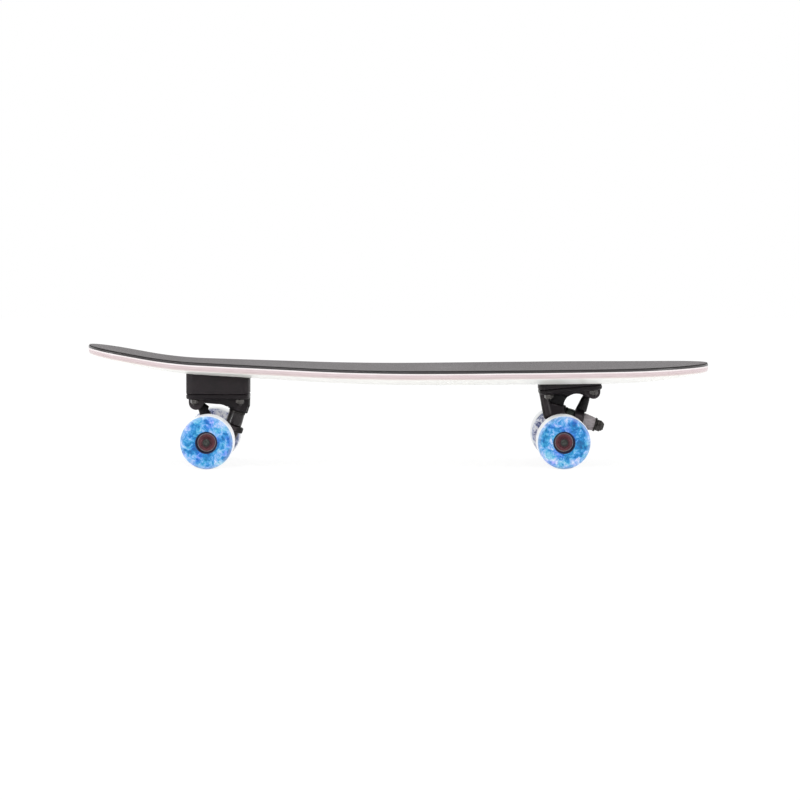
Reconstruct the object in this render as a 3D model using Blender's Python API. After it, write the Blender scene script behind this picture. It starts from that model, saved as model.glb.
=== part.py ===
"""Cruiser skateboard: pressed wooden deck, surf-style front truck, plain rear truck, four wheels.

The nose points along +X, +Y is the board's left side, +Z is up and the wheels stand on z = 0.
The origin is on the floor under the middle of the deck. All values are in metres.
"""

import math
from collections import namedtuple

import bmesh
import bpy
from mathutils import Vector

# Clearances
SEAT_GAP = 0.0003
HOLE_GAP = 0.00035
RUNNING_GAP = 0.0003

# Deck outline
DECK_LENGTH = 0.744
DECK_WIDTH = 0.2375
WIDE_POINT = 0.165
NOSE_FULLNESS = 2.5
TAIL_WIDTH = 0.125
TAIL_START = -0.300
TAIL_EASE = 1.5
TAIL_ROUND = 0.052

# Deck section
DECK_THICKNESS = 0.0096
CONCAVE = 0.0095
FLAT_SHARE = 0.42
RAIL_CURVE = 1.5
NOSE_FADE = 0.122
TAIL_FADE = 0.100
TOP_EDGE = 0.0010
BOTTOM_EDGE = 0.0038
GRIP_THICKNESS = 0.0010

# Deck rocker: each bend has its middle, its length and the slope that it adds
REAR_BEND = -0.050
REAR_BEND_LENGTH = 0.120
REAR_SLOPE = 0.042
KICK_BEND = -0.270
KICK_BEND_LENGTH = 0.070
KICK_SLOPE = 0.138
NOSE_BEND = 0.040
NOSE_BEND_LENGTH = 0.080
NOSE_SLOPE = 0.010
TIP_BEND = 0.300
TIP_BEND_LENGTH = 0.080
TIP_SLOPE = 0.030

# Wheels
WHEEL_RADIUS = 0.0315
WHEEL_WIDTH = 0.049
WHEEL_LIP_HEIGHT = 0.0060
WHEEL_LIP_DEPTH = 0.0065
LIP_FULLNESS = 0.72
OUTER_RECESS_BORDER = 0.0014
OUTER_RECESS_DEPTH = 0.008
INNER_RECESS_BORDER = 0.005
SHOULDER_HEIGHT = 0.0015

# Bearings, spacers and axles
BEARING_RADIUS = 0.011
BEARING_WIDTH = 0.007
BEARING_CHAMFER = 0.0004
SPACER_LENGTH = 0.010
SPACER_WALL = 0.0012
WASHER_THICKNESS = 0.0010
AXLE_RADIUS = 0.004
AXLE_CHAMFER = 0.0006
AXLE_TIP = 0.0010
AXLE_NUT_FLATS = 0.0127
AXLE_NUT_HEIGHT = 0.0065

# Hangers
HANGER_LENGTH = 0.144
HANGER_RADIUS = 0.0092
HANGER_END_RADIUS = 0.0078
HANGER_END_LENGTH = 0.020
HANGER_TAPER_LENGTH = 0.014
HANGER_WEB_WIDTH = 0.018
HANGER_EDGE = 0.0020
SMALL_EDGE = 0.0008
NOSE_RADIUS = 0.0046
NOSE_LENGTH = 0.016

# Baseplates
PLATE_LENGTH = 0.0752
PLATE_WIDTH = 0.056
PLATE_CORNER = 0.010
PLATE_EDGE = 0.0010
PLATE_WEB_WIDTH = 0.024
PLATE_WEB_INSET = 0.0008
PLATE_WEB_EDGE = 0.0022
CUP_WALL = 0.0021
CUP_FLOOR = 0.0013
CUP_DEPTH = 0.0025
CUP_LIP = 0.0005
MOUTH_DEPTH = 0.0075
ARM_ROOM = 0.0062
ARM_ROOM_DEPTH = 0.016

# Kingpins and their nuts and washers
KINGPIN_RADIUS = 0.0046
KINGPIN_HEAD_RADIUS = 0.0080
KINGPIN_HEAD_HEIGHT = 0.0055
KINGPIN_NUT_FLATS = 0.0132
KINGPIN_NUT_HEIGHT = 0.0075
KINGPIN_TIP = 0.0014
CUP_WASHER_THICKNESS = 0.0012
CUP_WASHER_RIM = 0.0007
CUP_WASHER_LIP = 0.0012
BOSS_FLARE = 0.0012

# Deck bolts
BOLT_SPACING_LONG = 0.05398
BOLT_SPACING_WIDE = 0.0413
BOLT_RADIUS = 0.0024
BOLT_HEAD_RADIUS = 0.0046
BOLT_HEAD_RIM = 0.0004
BOLT_HEAD_DEPTH = 0.0024
BOLT_TIP = 0.0015
BOLT_NUT_FLATS = 0.0095
BOLT_NUT_HEIGHT = 0.0058
CUTTER_REACH = 0.004

# Front truck: its wedge riser sets the height of the deck
FRONT_AXLE_X = 0.1938
FRONT_RISER_THICKNESS = 0.0048
FRONT_LEG_BACK = 0.0060
FRONT_ARCH_X = 0.0080
FRONT_ARCH_TOP = 0.0080
FRONT_ARCH_REACH = 0.0155
FRONT_ARCH_RISE = 0.0146
FRONT_ARM_RADII = (0.0044, 0.0056)

# Rear truck: its riser fills the height that is left under the deck
REAR_AXLE_X = -0.2249
REAR_ARCH_X = -0.0004
REAR_ARCH_TOP = 0.0123
REAR_ARCH_REACH = 0.0125
REAR_ARCH_RISE = 0.0065
REAR_ARM_RADII = (0.0048, 0.0100)
REAR_ARM_FOOT = (0.0030, 0.0060)

# Places of the parts of a truck are (along X, up) from its axle, lengths run along its kingpin
Truck = namedtuple(
    "Truck",
    "name axle_x plate_x plate_height plate_thickness plate_slope ring pivot lobe lobe_radius"
    " kingpin_lean ring_radius ring_thickness ring_hole board_bushing road_bushing boss_depth"
    " boss_radius arm_start",
)
Bushing = namedtuple("Bushing", "length ring_end washer_end")

FRONT_TRUCK = Truck(
    name="front",
    axle_x=FRONT_AXLE_X,
    plate_x=0.0120,
    plate_height=0.0606,
    plate_thickness=0.0055,
    plate_slope=0.093,
    ring=(0.0214, 0.0212),
    pivot=(0.0334, 0.0520),
    lobe=(0.0400, 0.0545),
    lobe_radius=0.0082,
    kingpin_lean=math.radians(-73.5),
    ring_radius=0.0138,
    ring_thickness=0.0110,
    ring_hole=0.0078,
    board_bushing=Bushing(0.0100, 0.0100, 0.0100),
    road_bushing=Bushing(0.0160, 0.0098, 0.0078),
    boss_depth=0.0150,
    boss_radius=0.0120,
    arm_start=0.0060,
)
REAR_TRUCK = Truck(
    name="rear",
    axle_x=REAR_AXLE_X,
    plate_x=0.0086,
    plate_height=0.0524,
    plate_thickness=0.0058,
    plate_slope=0.0,
    ring=(0.0249, 0.0112),
    pivot=(-0.0179, 0.0424),
    lobe=(-0.0176, 0.0420),
    lobe_radius=0.0089,
    kingpin_lean=math.radians(18.0),
    ring_radius=0.0135,
    ring_thickness=0.0072,
    ring_hole=0.0064,
    board_bushing=Bushing(0.0160, 0.0098, 0.0094),
    road_bushing=Bushing(0.0085, 0.0094, 0.0080),
    boss_depth=0.0092,
    boss_radius=0.0122,
    arm_start=0.0066,
)

# Looks of the materials: colour, roughness, metallic
MAPLE = ((0.86, 0.80, 0.80), 0.35, 0.0)
GRIT = ((0.24, 0.23, 0.23), 0.95, 0.0)
RISER_RUBBER = ((0.032, 0.030, 0.031), 0.7, 0.0)
BLACK_CASTING = ((0.020, 0.019, 0.021), 0.5, 0.3)
BLACK_STEEL = ((0.06, 0.06, 0.06), 0.4, 0.8)
NUT_STEEL = ((0.10, 0.10, 0.11), 0.35, 0.9)
BRIGHT_STEEL = ((0.50, 0.50, 0.52), 0.3, 1.0)
GREY_URETHANE = ((0.24, 0.22, 0.23), 0.5, 0.0)
BLACK_URETHANE = ((0.030, 0.032, 0.030), 0.5, 0.0)
CUP_PLASTIC = ((0.05, 0.05, 0.05), 0.6, 0.0)
BLUE_URETHANE = ((0.13, 0.38, 0.75), 0.3, 0.0)
SHIELD_RED = ((0.12, 0.06, 0.06), 0.45, 0.4)

# Fineness of the round pieces and of the deck
WHEEL_STEPS = 28
ROUND_STEPS = 16
SMALL_STEPS = 10
CORNER_STEPS = 3
ARCH_STEPS = 5
DECK_STATIONS = 38
DECK_COLUMNS = 8
END_CROWDING = 0.62


# Makers shared by all the pieces


def clear_scene():
    for old in list(bpy.data.objects):
        bpy.data.objects.remove(old, do_unlink=True)


def finish_material(name, colour, roughness, metallic):
    material = bpy.data.materials.new(name)
    material.use_nodes = True
    shader = material.node_tree.nodes["Principled BSDF"]
    shader.inputs["Base Color"].default_value = (*colour, 1.0)
    shader.inputs["Roughness"].default_value = roughness
    shader.inputs["Metallic"].default_value = metallic
    return material


def add_object(name, shape, look=None):
    """Makes an object of a mesh. One without a look is a cutter or a joined-on body."""
    bmesh.ops.remove_doubles(shape, verts=shape.verts[:], dist=1e-7)
    bmesh.ops.recalc_face_normals(shape, faces=shape.faces[:])
    mesh = bpy.data.meshes.new(name)
    shape.to_mesh(mesh)
    shape.free()
    mesh.shade_smooth()
    mesh.set_sharp_from_angle(angle=math.radians(35))
    obj = bpy.data.objects.new(name, mesh)
    bpy.context.scene.collection.objects.link(obj)
    if look:
        mesh.materials.append(finish_material(name, *look))
    else:
        obj.hide_render = True
        obj.display_type = "WIRE"
    return obj


def turn(profile, steps=ROUND_STEPS, closed=False):
    """A profile of (radius, height) points turned about Z. An open one closes at the axis."""
    shape = bmesh.new()
    points = [shape.verts.new((radius, 0.0, height)) for radius, height in profile]
    pairs = list(zip(points, points[1:]))
    if closed:
        pairs.append((points[-1], points[0]))
    edges = [shape.edges.new(pair) for pair in pairs]
    bmesh.ops.spin(
        shape,
        geom=points + edges,
        cent=(0.0, 0.0, 0.0),
        axis=(0.0, 0.0, 1.0),
        angle=math.tau,
        steps=steps,
        use_merge=True,
    )
    return shape


def tube_profile(inner, outer, low, high, chamfer=0.0):
    """A ring of square section, its outer corners chamfered if asked."""
    if not chamfer:
        return [(inner, high), (outer, high), (outer, low), (inner, low)]
    return [
        (inner, high),
        (outer - chamfer, high),
        (outer, high - chamfer),
        (outer, low + chamfer),
        (outer - chamfer, low),
        (inner, low),
    ]


def rod_profile(radius, low, high, chamfer=0.0):
    """A solid rod, from the middle of its top to the middle of its foot."""
    return [(0.0, high), *tube_profile(0.0, radius, low, high, chamfer)[1:-1], (0.0, low)]


def arc(centre_x, centre_z, radius_x, radius_z, start, end, steps=ARCH_STEPS):
    """Points along part of an ellipse, its angles in degrees."""
    angles = [math.radians(start + (end - start) * k / steps) for k in range(steps + 1)]
    return [
        (centre_x + radius_x * math.cos(angle), centre_z + radius_z * math.sin(angle))
        for angle in angles
    ]


def slab(outline, depth, axis="Y"):
    """An outline in XZ made solid along Y, or in XY made solid along Z, centred on it."""
    shape = bmesh.new()
    if axis == "Y":
        points = [shape.verts.new((x, -depth / 2, z)) for x, z in outline]
        move = Vector((0.0, depth, 0.0))
    else:
        points = [shape.verts.new((x, y, -depth / 2)) for x, y in outline]
        move = Vector((0.0, 0.0, depth))
    face = shape.faces.new(points)
    grown = bmesh.ops.extrude_face_region(shape, geom=[face])
    fresh = [item for item in grown["geom"] if isinstance(item, bmesh.types.BMVert)]
    bmesh.ops.translate(shape, verts=fresh, vec=move)
    return shape


def plate_outline():
    """The rounded rectangle that the baseplates and the risers share."""
    across = PLATE_LENGTH / 2 - PLATE_CORNER
    along = PLATE_WIDTH / 2 - PLATE_CORNER
    outline = []
    for quarter, (side_x, side_y) in enumerate(((1, 1), (-1, 1), (-1, -1), (1, -1))):
        start = 90 * quarter
        outline += arc(
            side_x * across,
            side_y * along,
            PLATE_CORNER,
            PLATE_CORNER,
            start,
            start + 90,
            CORNER_STEPS,
        )
    return outline


def place(obj, position, lean=0.0, about="Y"):
    """Puts an object in the world, leant about one axis."""
    obj.location = position
    obj.rotation_euler = (lean, 0.0, 0.0) if about == "X" else (0.0, lean, 0.0)
    return obj


def combine(obj, other, operation):
    step = obj.modifiers.new(operation.lower(), "BOOLEAN")
    step.operation = operation
    step.solver = "EXACT"
    step.object = other


def soften(obj, width, segments=1):
    edge = obj.modifiers.new("edges", "BEVEL")
    edge.width = width
    edge.segments = segments
    edge.limit_method = "ANGLE"
    edge.angle_limit = math.radians(40)


def hollow_nut(name, flats, height, hole, look):
    """A hexagon nut with a plain bore, centred on its own origin, its axis along Z."""
    shape = bmesh.new()
    corner = flats / math.sqrt(3.0)
    rings = []
    for z in (-height / 2, height / 2):
        outer = []
        inner = []
        for k in range(12):
            angle = math.tau * k / 12
            radius = flats / 2 if k % 2 else corner
            outer.append(shape.verts.new((radius * math.cos(angle), radius * math.sin(angle), z)))
            inner.append(shape.verts.new((hole * math.cos(angle), hole * math.sin(angle), z)))
        rings.append((outer, inner))
    (low_outer, low_inner), (high_outer, high_inner) = rings
    loops = [low_outer, high_outer, high_inner, low_inner]
    for first, second in zip(loops, loops[1:] + loops[:1]):
        for a, b, c, d in zip(first, first[1:] + first[:1], second[1:] + second[:1], second):
            shape.faces.new((a, b, c, d))
    return add_object(name, shape, look)


# Shape of the deck


def body_share(x):
    """Width of the body, before its ends are rounded, as a share of the widest."""
    run = (WIDE_POINT - x) / (WIDE_POINT - TAIL_START)
    run = min(1.0, max(0.0, run)) ** TAIL_EASE
    blend = run * run * (3.0 - 2.0 * run)
    return 1.0 - blend * (1.0 - TAIL_WIDTH / DECK_WIDTH)


def round_off(share):
    """Width that is left on a rounded end, this share of the way to its tip."""
    return math.sqrt(max(0.0, 1.0 - min(1.0, share) ** NOSE_FULLNESS))


def half_width(x):
    """Half the deck's width: widest ahead of the middle, round nose, narrow rounded tail."""
    end = DECK_LENGTH / 2
    if x >= WIDE_POINT:
        return DECK_WIDTH / 2 * round_off((x - WIDE_POINT) / (end - WIDE_POINT))
    rounding = max(0.0, 1.0 - (x + end) / TAIL_ROUND)
    return DECK_WIDTH / 2 * body_share(x) * round_off(rounding)


def bend(distance, length):
    """Height that a smooth bend of unit slope has added this far past its middle."""
    if distance <= -length / 2:
        return 0.0
    if distance >= length / 2:
        return distance
    return (distance + length / 2) ** 2 / (2.0 * length)


def rocker(x):
    """Height of the rails over their lowest stretch."""
    return (
        REAR_SLOPE * bend(REAR_BEND - x, REAR_BEND_LENGTH)
        + KICK_SLOPE * bend(KICK_BEND - x, KICK_BEND_LENGTH)
        + NOSE_SLOPE * bend(x - NOSE_BEND, NOSE_BEND_LENGTH)
        + TIP_SLOPE * bend(x - TIP_BEND, TIP_BEND_LENGTH)
    )


def concave_depth(x):
    """How far the middle of the deck lies below its rails."""
    end = DECK_LENGTH / 2
    to_nose = max(0.0, (x - end + NOSE_FADE) / NOSE_FADE)
    to_tail = max(0.0, (TAIL_FADE - end - x) / TAIL_FADE)
    fade = 1.0 - min(1.0, max(to_nose, to_tail)) ** 2
    return CONCAVE * body_share(x) * fade


def deck_rise(x, y):
    """Height of the deck's top over its rails' lowest stretch."""
    width = half_width(x)
    share = min(1.0, abs(y) / width) if width > 0 else 1.0
    side = max(0.0, (share - FLAT_SHARE) / (1.0 - FLAT_SHARE)) ** RAIL_CURVE
    return rocker(x) - concave_depth(x) * (1.0 - side)


AXLE_Z = WHEEL_RADIUS
FRONT_PLATE_X = FRONT_TRUCK.axle_x + FRONT_TRUCK.plate_x
FRONT_UNDERSIDE = AXLE_Z + FRONT_TRUCK.plate_height + FRONT_RISER_THICKNESS + 2 * SEAT_GAP
RAIL_BASE = FRONT_UNDERSIDE + DECK_THICKNESS - deck_rise(FRONT_PLATE_X, 0.0)


def deck_top(x, y):
    return RAIL_BASE + deck_rise(x, y)


def grip_top(x, y):
    return deck_top(x, y) + SEAT_GAP + GRIP_THICKNESS


def underside(x):
    return deck_top(x, 0.0) - DECK_THICKNESS


def station_x(k):
    """Stations lie closer together towards the two ends."""
    even = 2.0 * k / DECK_STATIONS - 1.0
    crowded = -math.cos(math.pi * k / DECK_STATIONS)
    return (END_CROWDING * crowded + (1.0 - END_CROWDING) * even) * DECK_LENGTH / 2


def outline_points(inset):
    """Half of the outline from tail to nose, moved inwards along its own normal."""
    end = DECK_LENGTH / 2
    points = [(-end + inset, 0.0)]
    for k in range(1, DECK_STATIONS):
        before = station_x(k - 1)
        after = station_x(k + 1)
        along = Vector((after - before, half_width(after) - half_width(before))).normalized()
        x = station_x(k)
        points.append((x + inset * along.y, half_width(x) - inset * along.x))
    points.append((end - inset, 0.0))
    return points


def rim_loop(shape, inset, height):
    """A closed loop of vertices around the outline, inset, at a height over the deck's top."""
    side = outline_points(inset)
    right = [(x, -y) for x, y in side[1:-1]]
    ring = [side[0], *right, side[-1], *reversed(side[1:-1])]
    return [shape.verts.new((x, y, deck_top(x, y) + height)) for x, y in ring]


def deck_cover(shape, loop, inset, height):
    """Fills a rim loop with a grid that follows the deck's top."""
    side = outline_points(inset)
    last = len(side) - 1
    rows = []
    for k in range(1, last):
        x, width = side[k]
        row = [loop[k]]
        for column in range(1, DECK_COLUMNS):
            y = width * (2.0 * column / DECK_COLUMNS - 1.0)
            row.append(shape.verts.new((x, y, deck_top(x, y) + height)))
        row.append(loop[-k])
        rows.append(row)
    for here, ahead in zip(rows, rows[1:]):
        for a, b, c, d in zip(here, here[1:], ahead[1:], ahead):
            shape.faces.new((a, b, c, d))
    for tip, row in ((loop[0], rows[0]), (loop[last], rows[-1])):
        for a, b in zip(row, row[1:]):
            shape.faces.new((tip, a, b))


def deck_layer(rim):
    """A closed board whose rim is a list of (inset, height over the deck's top)."""
    shape = bmesh.new()
    loops = [rim_loop(shape, inset, height) for inset, height in rim]
    for upper, lower in zip(loops, loops[1:]):
        for a, b, c, d in zip(upper, upper[1:] + upper[:1], lower[1:] + lower[:1], lower):
            shape.faces.new((a, b, c, d))
    deck_cover(shape, loops[0], *rim[0])
    deck_cover(shape, loops[-1], *rim[-1])
    return shape


# Deck and grip tape


def build_deck(cutters):
    top_round = TOP_EDGE * (1.0 - math.sin(math.radians(45)))
    bottom_round = BOTTOM_EDGE * (1.0 - math.sin(math.radians(45)))
    deck_rim = [
        (TOP_EDGE, 0.0),
        (top_round, -top_round),
        (0.0, -TOP_EDGE),
        (0.0, BOTTOM_EDGE - DECK_THICKNESS),
        (bottom_round, bottom_round - DECK_THICKNESS),
        (BOTTOM_EDGE, -DECK_THICKNESS),
    ]
    grip_rim = [(TOP_EDGE, SEAT_GAP + GRIP_THICKNESS), (TOP_EDGE, SEAT_GAP)]
    for name, rim, look in (("deck", deck_rim, MAPLE), ("grip_tape", grip_rim, GRIT)):
        board = add_object(name, deck_layer(rim), look)
        for cutter in cutters:
            combine(board, cutter, "DIFFERENCE")


# Deck bolts and their nuts


def plate_frame(truck):
    """Middle of the baseplate's top face, its lean and its upward normal."""
    middle = Vector((truck.axle_x + truck.plate_x, 0.0, AXLE_Z + truck.plate_height))
    lean = -math.atan(truck.plate_slope)
    return middle, lean, Vector((math.sin(lean), 0.0, math.cos(lean)))


def bolt_places(truck):
    """Each bolt's place on the baseplate's top face, and its length up to the grip's top."""
    middle, lean, up = plate_frame(truck)
    along = Vector((math.cos(lean), 0.0, -math.sin(lean)))
    places = []
    for way_x in (-1, 1):
        for way_y in (-1, 1):
            foot = middle + along * (way_x * BOLT_SPACING_LONG / 2)
            foot.y = way_y * BOLT_SPACING_WIDE / 2
            reach = grip_top(foot.x, foot.y) - foot.z
            reach = (grip_top(foot.x + up.x * reach, foot.y) - foot.z) / up.z
            places.append((foot, reach))
    return places


def bolt_profile(reach, foot_depth, gap, over):
    """A countersunk bolt, or with a gap around it the hole for it."""
    shank = BOLT_RADIUS + gap
    head = BOLT_HEAD_RADIUS + gap
    return [
        (0.0, reach + over),
        (head, reach + over),
        (head, reach - BOLT_HEAD_RIM - gap),
        (shank, reach - BOLT_HEAD_DEPTH - gap),
        (shank, -foot_depth - over),
        (0.0, -foot_depth - over),
    ]


def build_bolts(truck):
    """The four bolts and nuts of a truck. Returns the cutters for their holes."""
    _, lean, up = plate_frame(truck)
    nut_top = truck.plate_thickness + SEAT_GAP
    tip = nut_top + BOLT_NUT_HEIGHT + BOLT_TIP
    nut_hole = BOLT_RADIUS + HOLE_GAP
    cutters = []
    for number, (foot, reach) in enumerate(bolt_places(truck), start=1):
        shape = turn(bolt_profile(reach, tip, 0.0, 0.0), SMALL_STEPS)
        place(add_object(f"{truck.name}_bolt_{number}", shape, BLACK_STEEL), foot, lean)
        shape = turn(bolt_profile(reach, tip, HOLE_GAP, CUTTER_REACH), SMALL_STEPS)
        hole = add_object(f"{truck.name}_bolt_hole_{number}", shape)
        cutters.append(place(hole, foot, lean))
        name = f"{truck.name}_bolt_nut_{number}"
        nut = hollow_nut(name, BOLT_NUT_FLATS, BOLT_NUT_HEIGHT, nut_hole, NUT_STEEL)
        place(nut, foot - up * (nut_top + BOLT_NUT_HEIGHT / 2), lean)
    return cutters


# Risers


def build_riser(truck, name, cutters):
    """A block whose foot lies on the baseplate and whose top lies under the deck."""
    middle, _, _ = plate_frame(truck)
    half = PLATE_LENGTH / 2
    riser = add_object(name, slab(plate_outline(), SEAT_GAP, axis="Z"), RISER_RUBBER)
    top_slope = (underside(middle.x + half) - underside(middle.x - half)) / PLATE_LENGTH
    bow = min(
        underside(middle.x + half * share) - underside(middle.x) - top_slope * half * share
        for share in (-1.0, -0.5, 0.0, 0.5, 1.0)
    )
    for vertex in riser.data.vertices:
        x = vertex.co.x
        if vertex.co.z < 0:
            vertex.co.z = middle.z + truck.plate_slope * x + SEAT_GAP
        else:
            vertex.co.z = underside(middle.x) + top_slope * x + bow - SEAT_GAP
    place(riser, (middle.x, 0.0, 0.0))
    soften(riser, SMALL_EDGE)
    for cutter in cutters:
        combine(riser, cutter, "DIFFERENCE")


# Geometry of a truck


def from_axle(truck, offset):
    return Vector((truck.axle_x + offset[0], 0.0, AXLE_Z + offset[1]))


def steer_axis(truck):
    """Unit vector from the pivot to the middle of the hanger's ring."""
    return (from_axle(truck, truck.ring) - from_axle(truck, truck.pivot)).normalized()


def lean_of(direction):
    """Lean about Y that turns +Z onto a direction in the XZ plane."""
    return math.atan2(direction.x, direction.z)


def on_kingpin(truck, along, across=0.0):
    """World (x, z) of a point along the kingpin from the ring, towards the board."""
    centre = from_axle(truck, truck.ring)
    lean = truck.kingpin_lean
    return (
        centre.x + along * math.sin(lean) + across * math.cos(lean),
        centre.z + along * math.cos(lean) - across * math.sin(lean),
    )


def set_on_kingpin(obj, truck, along=0.0):
    x, z = on_kingpin(truck, along)
    return place(obj, (x, 0.0, z), truck.kingpin_lean)


def board_stack(truck):
    """Distances from the ring's middle to the board side bushing, washer, boss and head."""
    bushing = truck.ring_thickness / 2 + SEAT_GAP
    washer = bushing + truck.board_bushing.length + SEAT_GAP
    boss = washer + CUP_WASHER_THICKNESS + SEAT_GAP
    head = boss + truck.boss_depth + SEAT_GAP
    return bushing, washer, boss, head


def road_stack(truck):
    """Distances from the ring's middle to the road side bushing, washer, nut and tip."""
    bushing = truck.ring_thickness / 2 + SEAT_GAP
    washer = bushing + truck.road_bushing.length + SEAT_GAP
    nut = washer + CUP_WASHER_THICKNESS + SEAT_GAP
    tip = nut + KINGPIN_NUT_HEIGHT + KINGPIN_TIP
    return bushing, washer, nut, tip


def cup_radii():
    """Radii of the pivot cup's bore, of its wall and of the pocket that holds it."""
    bore = NOSE_RADIUS + RUNNING_GAP
    wall = bore + CUP_WALL
    return bore, wall, wall + SEAT_GAP


def round_tip(radius):
    """Profile points of a hemisphere of three facets below a rod's end."""
    slant = radius * math.sin(math.radians(45))
    return [(radius, 0.0), (slant, -slant), (0.0, -radius)]


# Kingpin, bushings, washers and pivot cup


def build_kingpin(truck):
    name = truck.name
    hole = KINGPIN_RADIUS + HOLE_GAP
    _, _, _, head = board_stack(truck)
    _, _, nut_top, tip = road_stack(truck)
    profile = [
        (0.0, head + KINGPIN_HEAD_HEIGHT),
        (KINGPIN_HEAD_RADIUS, head + KINGPIN_HEAD_HEIGHT),
        (KINGPIN_HEAD_RADIUS, head),
        (KINGPIN_RADIUS, head),
        (KINGPIN_RADIUS, SMALL_EDGE - tip),
        (KINGPIN_RADIUS - SMALL_EDGE, -tip),
        (0.0, -tip),
    ]
    set_on_kingpin(add_object(f"{name}_kingpin", turn(profile), NUT_STEEL), truck)
    nut = hollow_nut(
        f"{name}_kingpin_nut", KINGPIN_NUT_FLATS, KINGPIN_NUT_HEIGHT, hole, NUT_STEEL
    )
    set_on_kingpin(nut, truck, -(nut_top + KINGPIN_NUT_HEIGHT / 2))


def build_bushing(truck, side, bushing, start, way, look):
    """A turned urethane bushing, way 1 towards the board or -1 towards the road."""
    hole = KINGPIN_RADIUS + HOLE_GAP
    profile = [
        (hole, way * (start + bushing.length)),
        (bushing.washer_end, way * (start + bushing.length)),
        (bushing.ring_end, way * start),
        (hole, way * start),
    ]
    name = f"{truck.name}_{side}_bushing"
    set_on_kingpin(add_object(name, turn(profile, closed=True), look), truck)


def build_washer(truck, side, bushing, start, way):
    """A cupped washer whose lip reaches over the end of its bushing."""
    hole = KINGPIN_RADIUS + HOLE_GAP
    rim = bushing.washer_end + SEAT_GAP
    back = way * (start + CUP_WASHER_THICKNESS)
    lip = way * (start - CUP_WASHER_LIP)
    profile = [
        (hole, way * start),
        (rim, way * start),
        (rim, lip),
        (rim + CUP_WASHER_RIM, lip),
        (rim + CUP_WASHER_RIM, back),
        (hole, back),
    ]
    name = f"{truck.name}_{side}_washer"
    set_on_kingpin(add_object(name, turn(profile, closed=True), NUT_STEEL), truck)


def build_cushions(truck, board_look, road_look):
    """Both bushings with their washers."""
    for side, bushing, stack, way, look in (
        ("boardside", truck.board_bushing, board_stack(truck), 1.0, board_look),
        ("roadside", truck.road_bushing, road_stack(truck), -1.0, road_look),
    ):
        build_bushing(truck, side, bushing, stack[0], way, look)
        build_washer(truck, side, bushing, stack[1], way)


def build_pivot_cup(truck):
    bore, wall, _ = cup_radii()
    floor = bore + CUP_FLOOR
    profile = [
        (0.0, -floor),
        (wall, -floor),
        (wall, CUP_DEPTH),
        (bore, CUP_DEPTH),
        *round_tip(bore),
    ]
    cup = add_object(f"{truck.name}_pivot_cup", turn(profile), CUP_PLASTIC)
    place(cup, from_axle(truck, truck.pivot), lean_of(steer_axis(truck)))


# Baseplates


def build_baseplate(truck, outline, cutters):
    """Web of the given side outline, joined with plate, kingpin boss and pivot housing."""
    name = truck.name
    base = add_object(f"{name}_baseplate", slab(outline, PLATE_WEB_WIDTH), BLACK_CASTING)
    soften(base, PLATE_WEB_EDGE)

    middle, plate_lean, up = plate_frame(truck)
    plate = add_object(f"{name}_plate", slab(plate_outline(), truck.plate_thickness, axis="Z"))
    place(plate, middle - up * truck.plate_thickness / 2, plate_lean)
    soften(plate, PLATE_EDGE)
    combine(base, plate, "UNION")

    _, _, boss_face, head = board_stack(truck)
    boss_profile = [
        (0.0, head),
        (truck.boss_radius + BOSS_FLARE, head),
        (truck.boss_radius, boss_face),
        (0.0, boss_face),
    ]
    boss = set_on_kingpin(add_object(f"{name}_boss", turn(boss_profile)), truck)
    combine(base, boss, "UNION")

    half = PLATE_WEB_WIDTH / 2
    housing_shape = turn(rod_profile(truck.lobe_radius, -half, half, PLATE_EDGE))
    housing = add_object(f"{name}_pivot_housing", housing_shape)
    place(housing, from_axle(truck, truck.lobe), math.radians(90), about="X")
    combine(base, housing, "UNION")

    cut_pivot_pocket(base, truck)
    cut_kingpin_hole(base, truck)
    for cutter in cutters:
        combine(base, cutter, "DIFFERENCE")


def cut_pivot_pocket(base, truck):
    """The pocket for the pivot cup, and room in front of its mouth for the hanger's arm."""
    bore, _, pocket = cup_radii()
    mouth = CUP_DEPTH - CUP_LIP
    floor = -(bore + CUP_FLOOR + SEAT_GAP)
    profile = [
        (0.0, floor),
        (pocket, floor),
        (pocket, mouth),
        (truck.lobe_radius, mouth),
        (truck.lobe_radius, mouth + MOUTH_DEPTH),
        (ARM_ROOM, mouth + MOUTH_DEPTH),
        (ARM_ROOM, mouth + ARM_ROOM_DEPTH),
        (0.0, mouth + ARM_ROOM_DEPTH),
    ]
    cutter = add_object(f"{truck.name}_pivot_pocket", turn(profile))
    place(cutter, from_axle(truck, truck.pivot), lean_of(steer_axis(truck)))
    combine(base, cutter, "DIFFERENCE")


def cut_kingpin_hole(base, truck):
    """The kingpin's hole, with a wide counterbore behind the seat of its head."""
    _, _, boss_face, head = board_stack(truck)
    hole = KINGPIN_RADIUS + HOLE_GAP
    head_hole = KINGPIN_HEAD_RADIUS + HOLE_GAP
    seat = head - SEAT_GAP
    outside = head + KINGPIN_HEAD_HEIGHT + PLATE_LENGTH / 2
    profile = [
        (0.0, outside),
        (head_hole, outside),
        (head_hole, seat),
        (hole, seat),
        (hole, boss_face - truck.boss_radius),
        (0.0, boss_face - truck.boss_radius),
    ]
    cutter = set_on_kingpin(add_object(f"{truck.name}_kingpin_hole", turn(profile)), truck)
    combine(base, cutter, "DIFFERENCE")


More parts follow.
